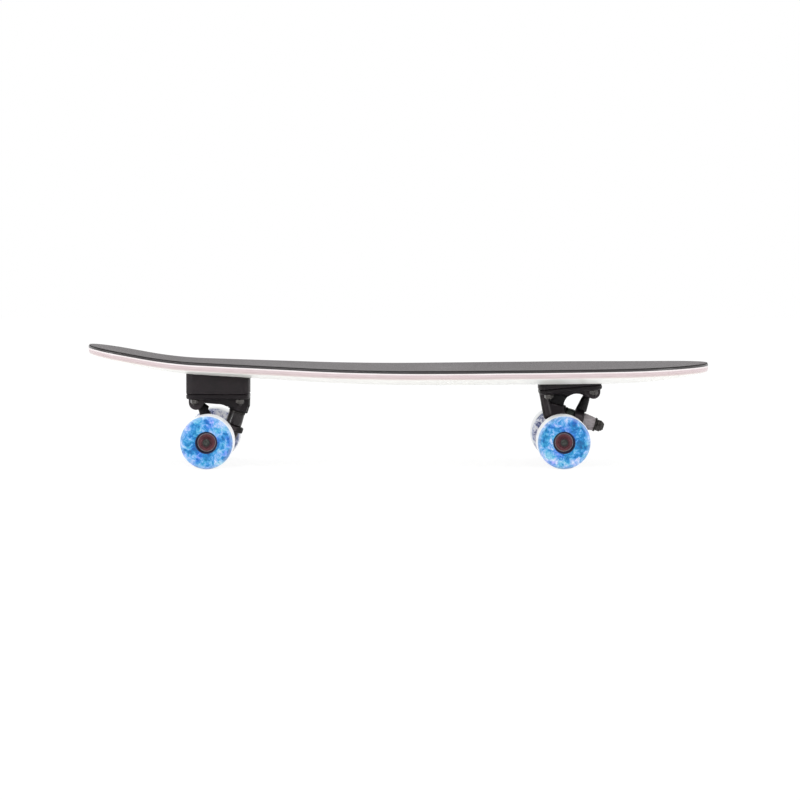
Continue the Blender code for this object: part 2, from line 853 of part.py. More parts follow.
def front_outline(truck):
    """Side outline of the front baseplate: tall leg at the back, arch, pivot housing."""
    middle, _, _ = plate_frame(truck)
    _, _, boss_face, head = board_stack(truck)
    lobe = from_axle(truck, truck.lobe)
    radius = truck.lobe_radius
    boss = truck.boss_radius
    reach = PLATE_LENGTH / 2 - PLATE_WEB_INSET

    def in_plate(x):
        """Height halfway down the plate's thickness."""
        return middle.z + truck.plate_slope * (x - middle.x) - truck.plate_thickness / 2

    back = middle.x - reach
    front = min(lobe.x + radius, middle.x + reach)
    arch = arc(
        middle.x + FRONT_ARCH_X,
        middle.z - FRONT_ARCH_TOP - FRONT_ARCH_RISE,
        FRONT_ARCH_REACH,
        FRONT_ARCH_RISE,
        180,
        50,
    )
    return [
        (back, in_plate(back)),
        on_kingpin(truck, head + FRONT_LEG_BACK, -boss * 0.85),
        on_kingpin(truck, boss_face + PLATE_WEB_EDGE, -boss * 0.90),
        on_kingpin(truck, boss_face + PLATE_WEB_EDGE, boss * 0.60),
        *arch,
        (lobe.x - radius * 0.5, lobe.z - radius * 0.6),
        (lobe.x + radius * 0.5, lobe.z - radius * 0.6),
        (front, lobe.z),
        (front, in_plate(front)),
    ]


def rear_outline(truck):
    """Side outline of the rear baseplate: pivot housing at the back, low arch, boss."""
    middle, _, _ = plate_frame(truck)
    _, _, boss_face, _ = board_stack(truck)
    lobe = from_axle(truck, truck.lobe)
    radius = truck.lobe_radius
    boss = truck.boss_radius
    in_plate = middle.z - truck.plate_thickness / 2
    back = lobe.x - radius
    front = middle.x + PLATE_LENGTH / 2 - PLATE_WEB_INSET
    arch = arc(
        middle.x + REAR_ARCH_X,
        middle.z - REAR_ARCH_TOP - REAR_ARCH_RISE,
        REAR_ARCH_REACH,
        REAR_ARCH_RISE,
        95,
        35,
    )
    return [
        (back, in_plate),
        (back, lobe.z),
        (lobe.x - radius * 0.4, lobe.z - radius * 0.4),
        (lobe.x + radius * 0.4, lobe.z),
        *arch,
        on_kingpin(truck, boss_face + PLATE_WEB_EDGE, -boss * 0.85),
        on_kingpin(truck, boss_face + PLATE_WEB_EDGE, boss * 0.85),
        (front, middle.z - truck.plate_thickness * 2),
        (front, in_plate),
    ]


# Hangers


def build_hanger(truck, web_outline, arm_end, arm_radii):
    """Axle beam, ring, pivot nose and arm in one casting, bored for axle and kingpin."""
    name = truck.name
    half = HANGER_LENGTH / 2
    waist = half - HANGER_END_LENGTH
    body = waist - HANGER_TAPER_LENGTH
    beam_profile = [
        (0.0, half),
        (HANGER_END_RADIUS - SMALL_EDGE, half),
        (HANGER_END_RADIUS, half - SMALL_EDGE),
        (HANGER_END_RADIUS, waist),
        (HANGER_RADIUS, body),
        (HANGER_RADIUS, -body),
        (HANGER_END_RADIUS, -waist),
        (HANGER_END_RADIUS, SMALL_EDGE - half),
        (HANGER_END_RADIUS - SMALL_EDGE, -half),
        (0.0, -half),
    ]
    axle = Vector((truck.axle_x, 0.0, AXLE_Z))
    hanger = add_object(f"{name}_hanger", turn(beam_profile), BLACK_CASTING)
    place(hanger, axle, math.radians(90), about="X")

    web = add_object(f"{name}_hanger_web", slab(web_outline, HANGER_WEB_WIDTH))
    soften(web, HANGER_EDGE)
    combine(hanger, web, "UNION")

    thick = truck.ring_thickness / 2
    ring_shape = turn(rod_profile(truck.ring_radius, -thick, thick, SMALL_EDGE))
    ring = set_on_kingpin(add_object(f"{name}_hanger_ring", ring_shape), truck)
    combine(hanger, ring, "UNION")

    pivot = from_axle(truck, truck.pivot)
    nose_profile = [(0.0, NOSE_LENGTH), (NOSE_RADIUS, NOSE_LENGTH), *round_tip(NOSE_RADIUS)]
    nose = add_object(f"{name}_hanger_nose", turn(nose_profile))
    place(nose, pivot, lean_of(steer_axis(truck)))
    combine(hanger, nose, "UNION")

    arm_start = pivot + steer_axis(truck) * truck.arm_start
    run = arm_end - arm_start
    arm_profile = [
        (0.0, run.length),
        (arm_radii[1], run.length),
        (arm_radii[0], 0.0),
        (0.0, 0.0),
    ]
    arm = add_object(f"{name}_hanger_arm", turn(arm_profile))
    place(arm, arm_start, lean_of(run))
    combine(hanger, arm, "UNION")

    ring_hole = turn(rod_profile(truck.ring_hole, -truck.ring_radius, truck.ring_radius))
    cutter = set_on_kingpin(add_object(f"{name}_ring_hole", ring_hole), truck)
    combine(hanger, cutter, "DIFFERENCE")

    axle_hole = turn(rod_profile(AXLE_RADIUS + RUNNING_GAP, -HANGER_LENGTH, HANGER_LENGTH))
    cutter = add_object(f"{name}_axle_hole", axle_hole)
    place(cutter, axle, math.radians(90), about="X")
    combine(hanger, cutter, "DIFFERENCE")
    return hanger


def front_web(truck):
    """Side outline of the bridge from the front axle beam to the ring."""
    thick = truck.ring_thickness / 2
    radius = truck.ring_radius
    beam = HANGER_RADIUS
    low_back = (truck.axle_x - beam * 0.45, AXLE_Z - beam * 0.65)
    high_back = (truck.axle_x - beam * 0.45, AXLE_Z + beam * 0.65)
    top = (truck.axle_x + beam * 0.55, AXLE_Z + beam * 0.92)
    foot = (truck.axle_x + beam * 0.98, AXLE_Z - beam * 0.65)
    return [
        low_back,
        high_back,
        top,
        on_kingpin(truck, thick - SMALL_EDGE / 2, -radius * 0.80),
        on_kingpin(truck, 0.0, -radius * 0.60),
        on_kingpin(truck, SMALL_EDGE - thick, -radius * 0.90),
        foot,
    ]


def rear_web(truck):
    """Side outline of the bridge from the rear axle beam to the ring."""
    thick = truck.ring_thickness / 2 - SMALL_EDGE / 2
    radius = truck.ring_radius
    beam = HANGER_RADIUS
    low_back = (truck.axle_x - beam * 0.45, AXLE_Z - beam * 0.60)
    high_back = (truck.axle_x - beam * 0.45, AXLE_Z + beam * 0.75)
    top = (truck.axle_x + beam * 0.45, AXLE_Z + beam * 1.50)
    foot = (truck.axle_x + beam * 0.65, AXLE_Z - beam * 0.60)
    return [
        low_back,
        high_back,
        top,
        on_kingpin(truck, thick, -radius * 0.82),
        on_kingpin(truck, 0.0, -radius * 0.60),
        on_kingpin(truck, -thick, -radius * 0.82),
        foot,
    ]


# Wheels and axle fittings


def wheel_stack():
    """Distances from the board's middle line of inner and outer bearing, nut and wheel face."""
    inner = HANGER_LENGTH / 2 + WASHER_THICKNESS
    outer = inner + BEARING_WIDTH + SPACER_LENGTH
    nut = outer + BEARING_WIDTH + WASHER_THICKNESS
    face = outer + BEARING_WIDTH + OUTER_RECESS_DEPTH
    return inner, outer, nut, face


def wheel_profile():
    """Half section of a wheel, heights measured from the board's middle line."""
    inner, outer, _, face = wheel_stack()
    back = face - WHEEL_WIDTH
    seat = BEARING_RADIUS + SEAT_GAP
    shoulder = BEARING_RADIUS - SHOULDER_HEIGHT
    face_radius = WHEEL_RADIUS - WHEEL_LIP_HEIGHT
    lip_radius = face_radius + WHEEL_LIP_HEIGHT * LIP_FULLNESS
    lip_depth = WHEEL_LIP_DEPTH * (1.0 - LIP_FULLNESS)
    outer_recess = BEARING_RADIUS + OUTER_RECESS_BORDER
    inner_recess = BEARING_RADIUS + INNER_RECESS_BORDER
    return [
        (outer_recess, face),
        (face_radius, face),
        (lip_radius, face - lip_depth),
        (WHEEL_RADIUS, face - WHEEL_LIP_DEPTH),
        (WHEEL_RADIUS, back + WHEEL_LIP_DEPTH),
        (lip_radius, back + lip_depth),
        (face_radius, back),
        (inner_recess, back),
        (inner_recess, inner),
        (seat, inner),
        (seat, inner + BEARING_WIDTH + SEAT_GAP),
        (shoulder, inner + BEARING_WIDTH + SEAT_GAP),
        (shoulder, outer - SEAT_GAP),
        (seat, outer - SEAT_GAP),
        (seat, outer + BEARING_WIDTH),
        (outer_recess, outer + BEARING_WIDTH),
    ]


def build_axle_end(truck, side, way):
    """The wheel, bearings, spacer and nut of one axle end: way -1 is right, 1 is left."""
    name = f"{truck.name}_{side}"
    bore = AXLE_RADIUS + RUNNING_GAP
    inner, outer, nut_place, _ = wheel_stack()

    def on_axle(obj, distance=0.0):
        position = (truck.axle_x, way * distance, AXLE_Z)
        return place(obj, position, math.radians(-90 * way), about="X")

    wheel_shape = turn(wheel_profile(), WHEEL_STEPS, closed=True)
    rolling = [on_axle(add_object(f"{name}_wheel", wheel_shape, BLUE_URETHANE))]
    half = BEARING_WIDTH / 2
    for label, start in (("inner", inner), ("outer", outer)):
        profile = tube_profile(bore, BEARING_RADIUS, -half, half, BEARING_CHAMFER)
        bearing = add_object(f"{name}_{label}_bearing", turn(profile, closed=True), SHIELD_RED)
        rolling.append(on_axle(bearing, start + half))

    low = inner + BEARING_WIDTH + SEAT_GAP
    high = outer - SEAT_GAP
    profile = tube_profile(bore, bore + SPACER_WALL, low, high)
    spacer = add_object(f"{name}_spacer", turn(profile, closed=True), BRIGHT_STEEL)
    on_axle(spacer)
    nut = hollow_nut(f"{name}_axle_nut", AXLE_NUT_FLATS, AXLE_NUT_HEIGHT, bore, BLACK_STEEL)
    on_axle(nut, nut_place + SEAT_GAP + AXLE_NUT_HEIGHT / 2)
    return rolling, [spacer, nut]


def build_axle(truck):
    _, _, nut_place, _ = wheel_stack()
    half = nut_place + SEAT_GAP + AXLE_NUT_HEIGHT + AXLE_TIP
    shape = turn(rod_profile(AXLE_RADIUS, -half, half, AXLE_CHAMFER))
    axle = add_object(f"{truck.name}_axle", shape, BRIGHT_STEEL)
    return place(axle, (truck.axle_x, 0.0, AXLE_Z), math.radians(90), about="X")


# Trucks and the whole board


def add_pivot(name, position, lean=0.0):
    """An empty on a joint's axis."""
    empty = bpy.data.objects.new(name, None)
    bpy.context.scene.collection.objects.link(empty)
    empty.empty_display_size = HANGER_RADIUS
    return place(empty, position, lean)


def hang_on(pivot, pieces):
    """Parents pieces to an empty without moving them."""
    bpy.context.view_layer.update()
    for piece in pieces:
        piece.parent = pivot
        piece.matrix_parent_inverse = pivot.matrix_world.inverted()


def build_moving_parts(truck, hanger):
    """Hangs the hanger, its axle and its wheels on the truck's steering axis."""
    _, _, _, face = wheel_stack()
    moving = [hanger, build_axle(truck)]
    for side, way in (("right", -1.0), ("left", 1.0)):
        rolling, fixed = build_axle_end(truck, side, way)
        middle = way * (face - WHEEL_WIDTH / 2)
        hub = add_pivot(f"{truck.name}_{side}_hub", (truck.axle_x, middle, AXLE_Z))
        hang_on(hub, rolling)
        moving += [hub, *fixed]
    ring = from_axle(truck, truck.ring)
    hang_on(add_pivot(f"{truck.name}_steer_axis", ring, lean_of(steer_axis(truck))), moving)


def build_front_truck(cutters):
    truck = FRONT_TRUCK
    build_baseplate(truck, front_outline(truck), cutters)
    build_kingpin(truck)
    build_cushions(truck, BLACK_URETHANE, GREY_URETHANE)
    build_pivot_cup(truck)
    arm_end = from_axle(truck, truck.ring) - steer_axis(truck) * truck.ring_radius * 0.84
    build_moving_parts(truck, build_hanger(truck, front_web(truck), arm_end, FRONT_ARM_RADII))


def build_rear_truck(cutters):
    truck = REAR_TRUCK
    build_baseplate(truck, rear_outline(truck), cutters)
    build_kingpin(truck)
    build_cushions(truck, BLACK_URETHANE, BLACK_URETHANE)
    build_pivot_cup(truck)
    arm_end = from_axle(truck, REAR_ARM_FOOT)
    build_moving_parts(truck, build_hanger(truck, rear_web(truck), arm_end, REAR_ARM_RADII))


def build():
    clear_scene()
    front_cutters = build_bolts(FRONT_TRUCK)
    rear_cutters = build_bolts(REAR_TRUCK)
    build_deck(front_cutters + rear_cutters)
    build_riser(FRONT_TRUCK, "front_wedge_riser", front_cutters)
    build_riser(REAR_TRUCK, "rear_riser", rear_cutters)
    build_front_truck(front_cutters)
    build_rear_truck(rear_cutters)


build()
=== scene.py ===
import math
from collections import namedtuple

import bmesh
import bpy
from mathutils import Matrix, Vector


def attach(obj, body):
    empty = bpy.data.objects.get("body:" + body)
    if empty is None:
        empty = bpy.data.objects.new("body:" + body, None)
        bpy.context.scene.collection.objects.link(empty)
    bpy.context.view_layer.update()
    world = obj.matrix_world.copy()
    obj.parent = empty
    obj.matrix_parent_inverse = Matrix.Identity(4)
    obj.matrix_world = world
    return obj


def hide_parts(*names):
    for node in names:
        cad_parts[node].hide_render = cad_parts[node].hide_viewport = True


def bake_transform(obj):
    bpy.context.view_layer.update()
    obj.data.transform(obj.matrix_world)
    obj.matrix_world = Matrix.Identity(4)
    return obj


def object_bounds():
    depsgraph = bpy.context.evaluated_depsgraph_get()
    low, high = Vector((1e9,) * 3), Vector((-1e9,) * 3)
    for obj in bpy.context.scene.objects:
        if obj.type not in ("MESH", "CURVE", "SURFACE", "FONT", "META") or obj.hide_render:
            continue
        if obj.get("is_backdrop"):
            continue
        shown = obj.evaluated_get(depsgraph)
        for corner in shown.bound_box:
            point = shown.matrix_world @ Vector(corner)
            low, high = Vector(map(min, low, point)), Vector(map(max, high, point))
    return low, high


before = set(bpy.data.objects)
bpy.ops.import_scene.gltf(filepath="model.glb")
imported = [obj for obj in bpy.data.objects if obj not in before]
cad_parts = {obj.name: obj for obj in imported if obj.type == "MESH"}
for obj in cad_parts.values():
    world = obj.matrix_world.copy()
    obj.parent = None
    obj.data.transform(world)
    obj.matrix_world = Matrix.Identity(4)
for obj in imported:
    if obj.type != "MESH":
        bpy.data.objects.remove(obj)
cad_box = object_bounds()


# The studio
# A product picture on plain white: a pale floor, white surroundings and soft even light with a
# little more of it from above. The camera stands far off at the board's right side.

PHOTO_WIDTH_PIXELS = 800.0
FOCAL_PIXELS = 3116.0
HORIZON_PIXELS = 171.25
SIDEWAYS_PIXELS = 5.6
SENSOR_WIDTH = 36.0
CAMERA_PLACE = (-0.0049, -3.740, 0.2815)
CAMERA_LENS = FOCAL_PIXELS * SENSOR_WIDTH / PHOTO_WIDTH_PIXELS
CAMERA_PITCH = math.atan(HORIZON_PIXELS / FOCAL_PIXELS)
CAMERA_YAW = math.atan(SIDEWAYS_PIXELS / FOCAL_PIXELS)
CAMERA_REACH = 100.0
FLOOR_SIZE = 12.0
FLOOR_TILES = 8
FLOOR_WHITE = (0.96, 0.96, 0.96, 1.0)
FLOOR_SHADOW_SHARE = 0.18
FLOOR_GLOW = 1.06
SURROUNDING_LEVEL = 0.95
WHITE = (1.0, 1.0, 1.0, 1.0)

camera_data = bpy.data.cameras.new("camera")
camera_data.lens = CAMERA_LENS
camera_data.sensor_width = SENSOR_WIDTH
camera_data.clip_end = CAMERA_REACH
camera = bpy.data.objects.new("camera", camera_data)
camera.location = CAMERA_PLACE
camera.rotation_euler = (math.radians(90) - CAMERA_PITCH, 0.0, -CAMERA_YAW)
bpy.context.scene.collection.objects.link(camera)
bpy.context.scene.camera = camera
bpy.context.scene.view_settings.view_transform = "Standard"


def worked(tree, operation, *values, kind="ShaderNodeMath"):
    """Outputs of a math node. A value that isn't a socket is a plain number or a triple."""
    step = tree.nodes.new(kind)
    step.operation = operation
    for value, socket in zip(values, step.inputs):
        if isinstance(value, bpy.types.NodeSocket):
            tree.links.new(value, socket)
        else:
            socket.default_value = value
    return step.outputs


def seen_directly(tree):
    """1 for rays that show the surroundings to the camera, in gloss or through glass, else 0."""
    path = tree.nodes.new("ShaderNodeLightPath").outputs
    either = worked(tree, "MAXIMUM", path["Is Camera Ray"], path["Is Glossy Ray"])[0]
    return worked(tree, "MAXIMUM", either, path["Is Transmission Ray"])[0]


def put_over(tree, share, under, over, output):
    """Lays one shader over another by this share, up to the tree's output."""
    mix = tree.nodes.new("ShaderNodeMixShader")
    tree.links.new(share, mix.inputs["Fac"])
    tree.links.new(under.outputs[0], mix.inputs[1])
    tree.links.new(over.outputs[0], mix.inputs[2])
    tree.links.new(mix.outputs["Shader"], tree.nodes[output].inputs["Surface"])


def whiten(glow, strength):
    """Makes a background or an emission white, of this strength."""
    glow.inputs["Color"].default_value = WHITE
    glow.inputs["Strength"].default_value = strength
    return glow


world = bpy.data.worlds.new("surroundings")
world.use_nodes = True
tree = world.node_tree
lighting = whiten(tree.nodes["Background"], SURROUNDING_LEVEL)
backdrop = whiten(tree.nodes.new("ShaderNodeBackground"), 1.0)
put_over(tree, seen_directly(tree), lighting, backdrop, "World Output")
bpy.context.scene.world = world

shape = bmesh.new()
bmesh.ops.create_grid(shape, x_segments=FLOOR_TILES, y_segments=FLOOR_TILES, size=FLOOR_SIZE / 2)
floor_mesh = bpy.data.meshes.new("floor")
shape.to_mesh(floor_mesh)
shape.free()
floor = bpy.data.objects.new("floor", floor_mesh)
bpy.context.scene.collection.objects.link(floor)
floor_paint = bpy.data.materials.new("floor_paint")
floor_paint.use_nodes = True
tree = floor_paint.node_tree
matt = tree.nodes["Principled BSDF"]
matt.inputs["Base Color"].default_value = FLOOR_WHITE
matt.inputs["Roughness"].default_value = 1.0
matt.inputs["Specular IOR Level"].default_value = 0.0
glow = whiten(tree.nodes.new("ShaderNodeEmission"), FLOOR_GLOW)
lit = worked(tree, "MULTIPLY", seen_directly(tree), 1.0 - FLOOR_SHADOW_SHARE)[0]
put_over(tree, lit, matt, glow, "Material Output")
floor_mesh.materials.append(floor_paint)
floor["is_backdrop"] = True

for name, place, size, power in (
    ("light_above", (-0.5, -0.5, 2.2), 0.40, 9.0),
    ("light_left", (-1.9, -1.5, 0.5), 0.35, 8.0),
    ("light_right", (2.2, -1.0, 0.5), 0.35, 8.0),
):
    light_data = bpy.data.lights.new(name, "AREA")
    light_data.size = size
    light_data.energy = power
    light = bpy.data.objects.new(name, light_data)
    light.location = place
    light.rotation_euler = (-Vector(place)).to_track_quat("-Z", "Y").to_euler()
    bpy.context.scene.collection.objects.link(light)


# The deck
# Maple veneers glued and pressed in a mould that gives the concave, the rocker and the kicktail.
# The rim is sanded round. The topmost plies are dyed black. Just below them the rim is painted
# near white as a painted highlight. Towards the foot the plies and the foot itself are painted
# lighter, up to white, as painted light from below.

DECK_LENGTH = 0.744
DECK_WIDTH = 0.2375
WIDE_POINT = 0.165
NOSE_FULLNESS = 2.5
TAIL_WIDTH = 0.125
TAIL_START = -0.300
TAIL_EASE = 1.5
TAIL_ROUND = 0.052
DECK_THICKNESS = 0.0096
CONCAVE = 0.0095
FLAT_SHARE = 0.42
RAIL_CURVE = 1.5
NOSE_FADE = 0.122
TAIL_FADE = 0.100
# Each bend of the rocker: its middle, the way it rises, its length and the slope it ends with.
BENDS = (
    (-0.050, -1.0, 0.120, 0.042),
    (-0.270, -1.0, 0.070, 0.138),
    (0.040, 1.0, 0.080, 0.010),
    (0.300, 1.0, 0.080, 0.030),
)
TOP_EDGE = 0.0010
BOTTOM_EDGE = 0.0038
SEAT_GAP = 0.0003
GRIP_THICKNESS = 0.0010
DECK_STATIONS = 150
DECK_COLUMNS = 28
END_CROWDING = 0.62
LEAST_WIDTH = 0.0002
HOLE_GAP = 0.00035
HOLE_ABOVE = 0.004
HOLE_BELOW = 0.012
HOLE_STEPS = 40

AXLE_HEIGHT = 0.0315
Plate = namedtuple("Plate", "x height slope")
FRONT_PLATE = Plate(x=0.2058, height=AXLE_HEIGHT + 0.0606, slope=0.093)
REAR_PLATE = Plate(x=-0.2163, height=AXLE_HEIGHT + 0.0524, slope=0.0)
FRONT_RISER_THICKNESS = 0.0048
BOLT_SPACING_LONG = 0.05398
BOLT_SPACING_WIDE = 0.0413
BOLT_RADIUS = 0.0024
BOLT_HEAD_RADIUS = 0.0046
BOLT_HEAD_RIM = 0.0004
BOLT_HEAD_DEPTH = 0.0024


def body_share(x):
    """Width of the body, before its ends are rounded, as a share of the widest."""
    run = (WIDE_POINT - x) / (WIDE_POINT - TAIL_START)
    run = min(1.0, max(0.0, run)) ** TAIL_EASE
    eased = run * run * (3.0 - 2.0 * run)
    return 1.0 - eased * (1.0 - TAIL_WIDTH / DECK_WIDTH)


def round_off(share):
    """Width that is left on a rounded end, this share of the way to its tip."""
    return math.sqrt(max(0.0, 1.0 - min(1.0, share) ** NOSE_FULLNESS))


def half_width(x):
    """Half the deck's width: widest ahead of the middle, round nose, narrow rounded tail."""
    end = DECK_LENGTH / 2
    if x >= WIDE_POINT:
        return DECK_WIDTH / 2 * round_off((x - WIDE_POINT) / (end - WIDE_POINT))
    rounding = max(0.0, 1.0 - (x + end) / TAIL_ROUND)
    return DECK_WIDTH / 2 * body_share(x) * round_off(rounding)


def rocker(x):
    """Height of the rails over their lowest stretch."""
    height = 0.0
    for middle, way, length, slope in BENDS:
        distance = way * (x - middle)
        if distance >= length / 2:
            height += slope * distance
        elif distance > -length / 2:
            height += slope * (distance + length / 2) ** 2 / (2.0 * length)
    return height


def concave_depth(x):
    """How far the middle of the deck lies below its rails."""
    end = DECK_LENGTH / 2
    to_nose = max(0.0, (x - end + NOSE_FADE) / NOSE_FADE)
    to_tail = max(0.0, (TAIL_FADE - end - x) / TAIL_FADE)
    return CONCAVE * body_share(x) * (1.0 - min(1.0, max(to_nose, to_tail)) ** 2)


def deck_rise(x, y):
    """Height of the deck's top over its rails' lowest stretch."""
    width = half_width(x)
    share = min(1.0, abs(y) / width) if width > 0 else 1.0
    side = max(0.0, (share - FLAT_SHARE) / (1.0 - FLAT_SHARE)) ** RAIL_CURVE
    return rocker(x) - concave_depth(x) * (1.0 - side)


FRONT_UNDERSIDE = FRONT_PLATE.height + FRONT_RISER_THICKNESS + 2 * SEAT_GAP
RAIL_BASE = FRONT_UNDERSIDE + DECK_THICKNESS - deck_rise(FRONT_PLATE.x, 0.0)


def deck_top(x, y):
    return RAIL_BASE + deck_rise(x, y)


def station_x(k):
    """Place along the deck of a station. They lie closer together towards the two ends."""
    even = 2.0 * k / DECK_STATIONS - 1.0
    crowded = -math.cos(math.pi * k / DECK_STATIONS)
    return (END_CROWDING * crowded + (1.0 - END_CROWDING) * even) * DECK_LENGTH / 2


def outline_points(inset):
    """Half of the outline from tail to nose, moved inwards along its own normal."""
    end = DECK_LENGTH / 2
    points = [(-end + inset, 0.0)]
    for k in range(1, DECK_STATIONS):
        before = station_x(k - 1)
        after = station_x(k + 1)
        along = Vector((after - before, half_width(after) - half_width(before))).normalized()
        x = station_x(k)
        width = max(LEAST_WIDTH, half_width(x) - inset * along.x)
        points.append((x + inset * along.y, width))
    points.append((end - inset, 0.0))
    return points


def join(shape, here, ahead):
    """Faces between two closed rings of vertices."""
    corners = zip(here, here[1:] + here[:1], ahead[1:] + ahead[:1], ahead)
    return [shape.faces.new(four) for four in corners]


def board(rim):
    """A closed board whose rim is a list of (inset, height over the deck's top).

    The height is kept in the map "ply", so that the plies can be painted along the rim.
    """
    shape = bmesh.new()
    heights = {}

    def point(x, y, height):
        vertex = shape.verts.new((x, y, deck_top(x, y) + height))
        heights[vertex] = height
        return vertex

    loops = []
    for inset, height in rim:
        side = outline_points(inset)
        ring = [side[0], *[(x, -y) for x, y in side[1:-1]], side[-1], *reversed(side[1:-1])]
        loops.append([point(x, y, height) for x, y in ring])
    for upper, lower in zip(loops, loops[1:]):
        join(shape, upper, lower)
    for loop, (inset, height) in ((loops[0], rim[0]), (loops[-1], rim[-1])):
        side = outline_points(inset)
        last = len(side) - 1
        rows = []
        for k in range(1, last):
            x, width = side[k]
            inner = [width * (2.0 * c / DECK_COLUMNS - 1.0) for c in range(1, DECK_COLUMNS)]
            rows.append([loop[k], *[point(x, y, height) for y in inner], loop[-k]])
        for here, ahead in zip(rows, rows[1:]):
            for a, b, c, d in zip(here, here[1:], ahead[1:], ahead):
                shape.faces.new((a, b, c, d))
        for tip, row in ((loop[0], rows[0]), (loop[last], rows[-1])):
            for a, b in zip(row, row[1:]):
                shape.faces.new((tip, a, b))
    ply = shape.loops.layers.uv.new("ply")
    for face in shape.faces:
        for corner in face.loops:
            corner[ply].uv = (corner.vert.co.x, heights[corner.vert])
    return shape


SHARP_ANGLE = 35.0


def keep(name, shape, *finishes, sharp=SHARP_ANGLE):
    """Makes an object of a mesh, smooth but for its sharp edges."""
    bmesh.ops.recalc_face_normals(shape, faces=shape.faces[:])
    mesh = bpy.data.meshes.new(name)
    shape.to_mesh(mesh)
    shape.free()
    mesh.shade_smooth()
    mesh.set_sharp_from_angle(angle=math.radians(sharp))
    for finish in finishes:
        mesh.materials.append(finish)
    piece = bpy.data.objects.new(name, mesh)
    bpy.context.scene.collection.objects.link(piece)
    return piece


def circle(radius, height, steps):
    """Places around Z."""
    angles = [math.tau * k / steps for k in range(steps)]
    return [(radius * math.cos(a), radius * math.sin(a), height) for a in angles]


def turn(profile, steps=48, closed=False):
    """A profile of (radius, height) points turned about Z. An open one closes at the axis."""
    shape = bmesh.new()
    rings = []
    for radius, height in profile:
        if radius == 0.0:
            rings.append([shape.verts.new((0.0, 0.0, height))])
            continue
        rings.append([shape.verts.new(place) for place in circle(radius, height, steps)])
    pairs = list(zip(rings, rings[1:]))
    if closed:
        pairs.append((rings[-1], rings[0]))
    for here, ahead in pairs:
        if len(here) == 1 and len(ahead) == 1:
            continue
        for k in range(steps):
            corners = [here[k % len(here)], here[(k + 1) % len(here)]]
            corners += [ahead[(k + 1) % len(ahead)], ahead[k % len(ahead)]]
            shape.faces.new(list(dict.fromkeys(corners)))
    return shape


def settle(piece):
    """Works a piece's modifiers into its mesh."""
    depsgraph = bpy.context.evaluated_depsgraph_get()
    shaped = bpy.data.meshes.new_from_object(piece.evaluated_get(depsgraph))
    piece.modifiers.clear()
    old = piece.data
    piece.data = shaped
    bpy.data.meshes.remove(old)


def cut(piece, cutters):
    """Cuts shapes out of a piece, then throws the cutters away."""
    for cutter in cutters:
        step = piece.modifiers.new("cut", "BOOLEAN")
        step.operation = "DIFFERENCE"
        step.solver = "EXACT"
        step.object = cutter
    settle(piece)
    piece.data.set_sharp_from_angle(angle=math.radians(SHARP_ANGLE))
    for cutter in cutters:
        bpy.data.objects.remove(cutter, do_unlink=True)


def lean_of_plate(plate):
    """How far a baseplate leans about Y."""
    return -math.atan(plate.slope)


def up_from_plate(plate):
    """The way up from a baseplate's top face, square to it."""
    lean = lean_of_plate(plate)
    return Vector((math.sin(lean), 0.0, math.cos(lean)))


def bolt_places(plate):
    """Each bolt's place on the baseplate's top face, and its length up to the grip's top."""
    middle = Vector((plate.x, 0.0, plate.height))
    up = up_from_plate(plate)
    along = Vector((up.z, 0.0, -up.x))
    over = SEAT_GAP + GRIP_THICKNESS
    places = []
    for way_x in (-1, 1):
        for way_y in (-1, 1):
            foot = middle + along * (way_x * BOLT_SPACING_LONG / 2)
            foot.y = way_y * BOLT_SPACING_WIDE / 2
            reach = deck_top(foot.x, foot.y) + over - foot.z
            reach = (deck_top(foot.x + up.x * reach, foot.y) + over - foot.z) / up.z
            places.append((foot, reach))
    return places


def bolt_cutters():
    """Countersunk holes for the eight deck bolts."""
    wide = BOLT_HEAD_RADIUS + HOLE_GAP
    narrow = BOLT_RADIUS + HOLE_GAP
    cutters = []
    for plate in (FRONT_PLATE, REAR_PLATE):
        for foot, reach in bolt_places(plate):
            profile = [
                (0.0, reach + HOLE_ABOVE),
                (wide, reach + HOLE_ABOVE),
                (wide, reach - BOLT_HEAD_RIM - HOLE_GAP),
                (narrow, reach - BOLT_HEAD_DEPTH - HOLE_GAP),
                (narrow, -HOLE_BELOW),
                (0.0, -HOLE_BELOW),
            ]
            hole = keep("bolt_hole", turn(profile, HOLE_STEPS))
            hole.location = foot
            hole.rotation_euler = (0.0, lean_of_plate(plate), 0.0)
            cutters.append(hole)
    bpy.context.view_layer.update()
    return cutters


def paint(red, green, blue):
    """A colour given as it looks on a screen, 0 to 255, in the shader's own scale."""
    levels = [level / 255.0 for level in (red, green, blue)]
    scaled = [v / 12.92 if v <= 0.04045 else ((v + 0.055) / 1.055) ** 2.4 for v in levels]
    return (*scaled, 1.0)


def new_finish(name, settings):
    """A material whose shader has these settings. Returns it with its nodes and its shader."""
    finish = bpy.data.materials.new(name)
    finish.use_nodes = True
    shader = finish.node_tree.nodes["Principled BSDF"]
    for socket, value in settings.items():
        shader.inputs[socket].default_value = value
    return finish, finish.node_tree, shader


def on_piece(tree, stretch=(1.0, 1.0, 1.0), shift=(0.0, 0.0, 0.0)):
    """Places on the piece, in metres, stretched and shifted."""
    place = tree.nodes.new("ShaderNodeTexCoord")
    mapping = tree.nodes.new("ShaderNodeMapping")
    mapping.inputs["Scale"].default_value = stretch
    mapping.inputs["Location"].default_value = shift
    tree.links.new(place.outputs["Object"], mapping.inputs["Vector"])
    return mapping.outputs["Vector"]


def mottle(tree, where, scale, detail=3.0, roughness=0.5, distortion=0.0):
    """Cloudy noise from 0 to 1."""
    clouds = tree.nodes.new("ShaderNodeTexNoise")
    clouds.inputs["Scale"].default_value = scale
    clouds.inputs["Detail"].default_value = detail
    clouds.inputs["Roughness"].default_value = roughness
    clouds.inputs["Distortion"].default_value = distortion
    tree.links.new(where, clouds.inputs["Vector"])
    return clouds.outputs["Fac"]


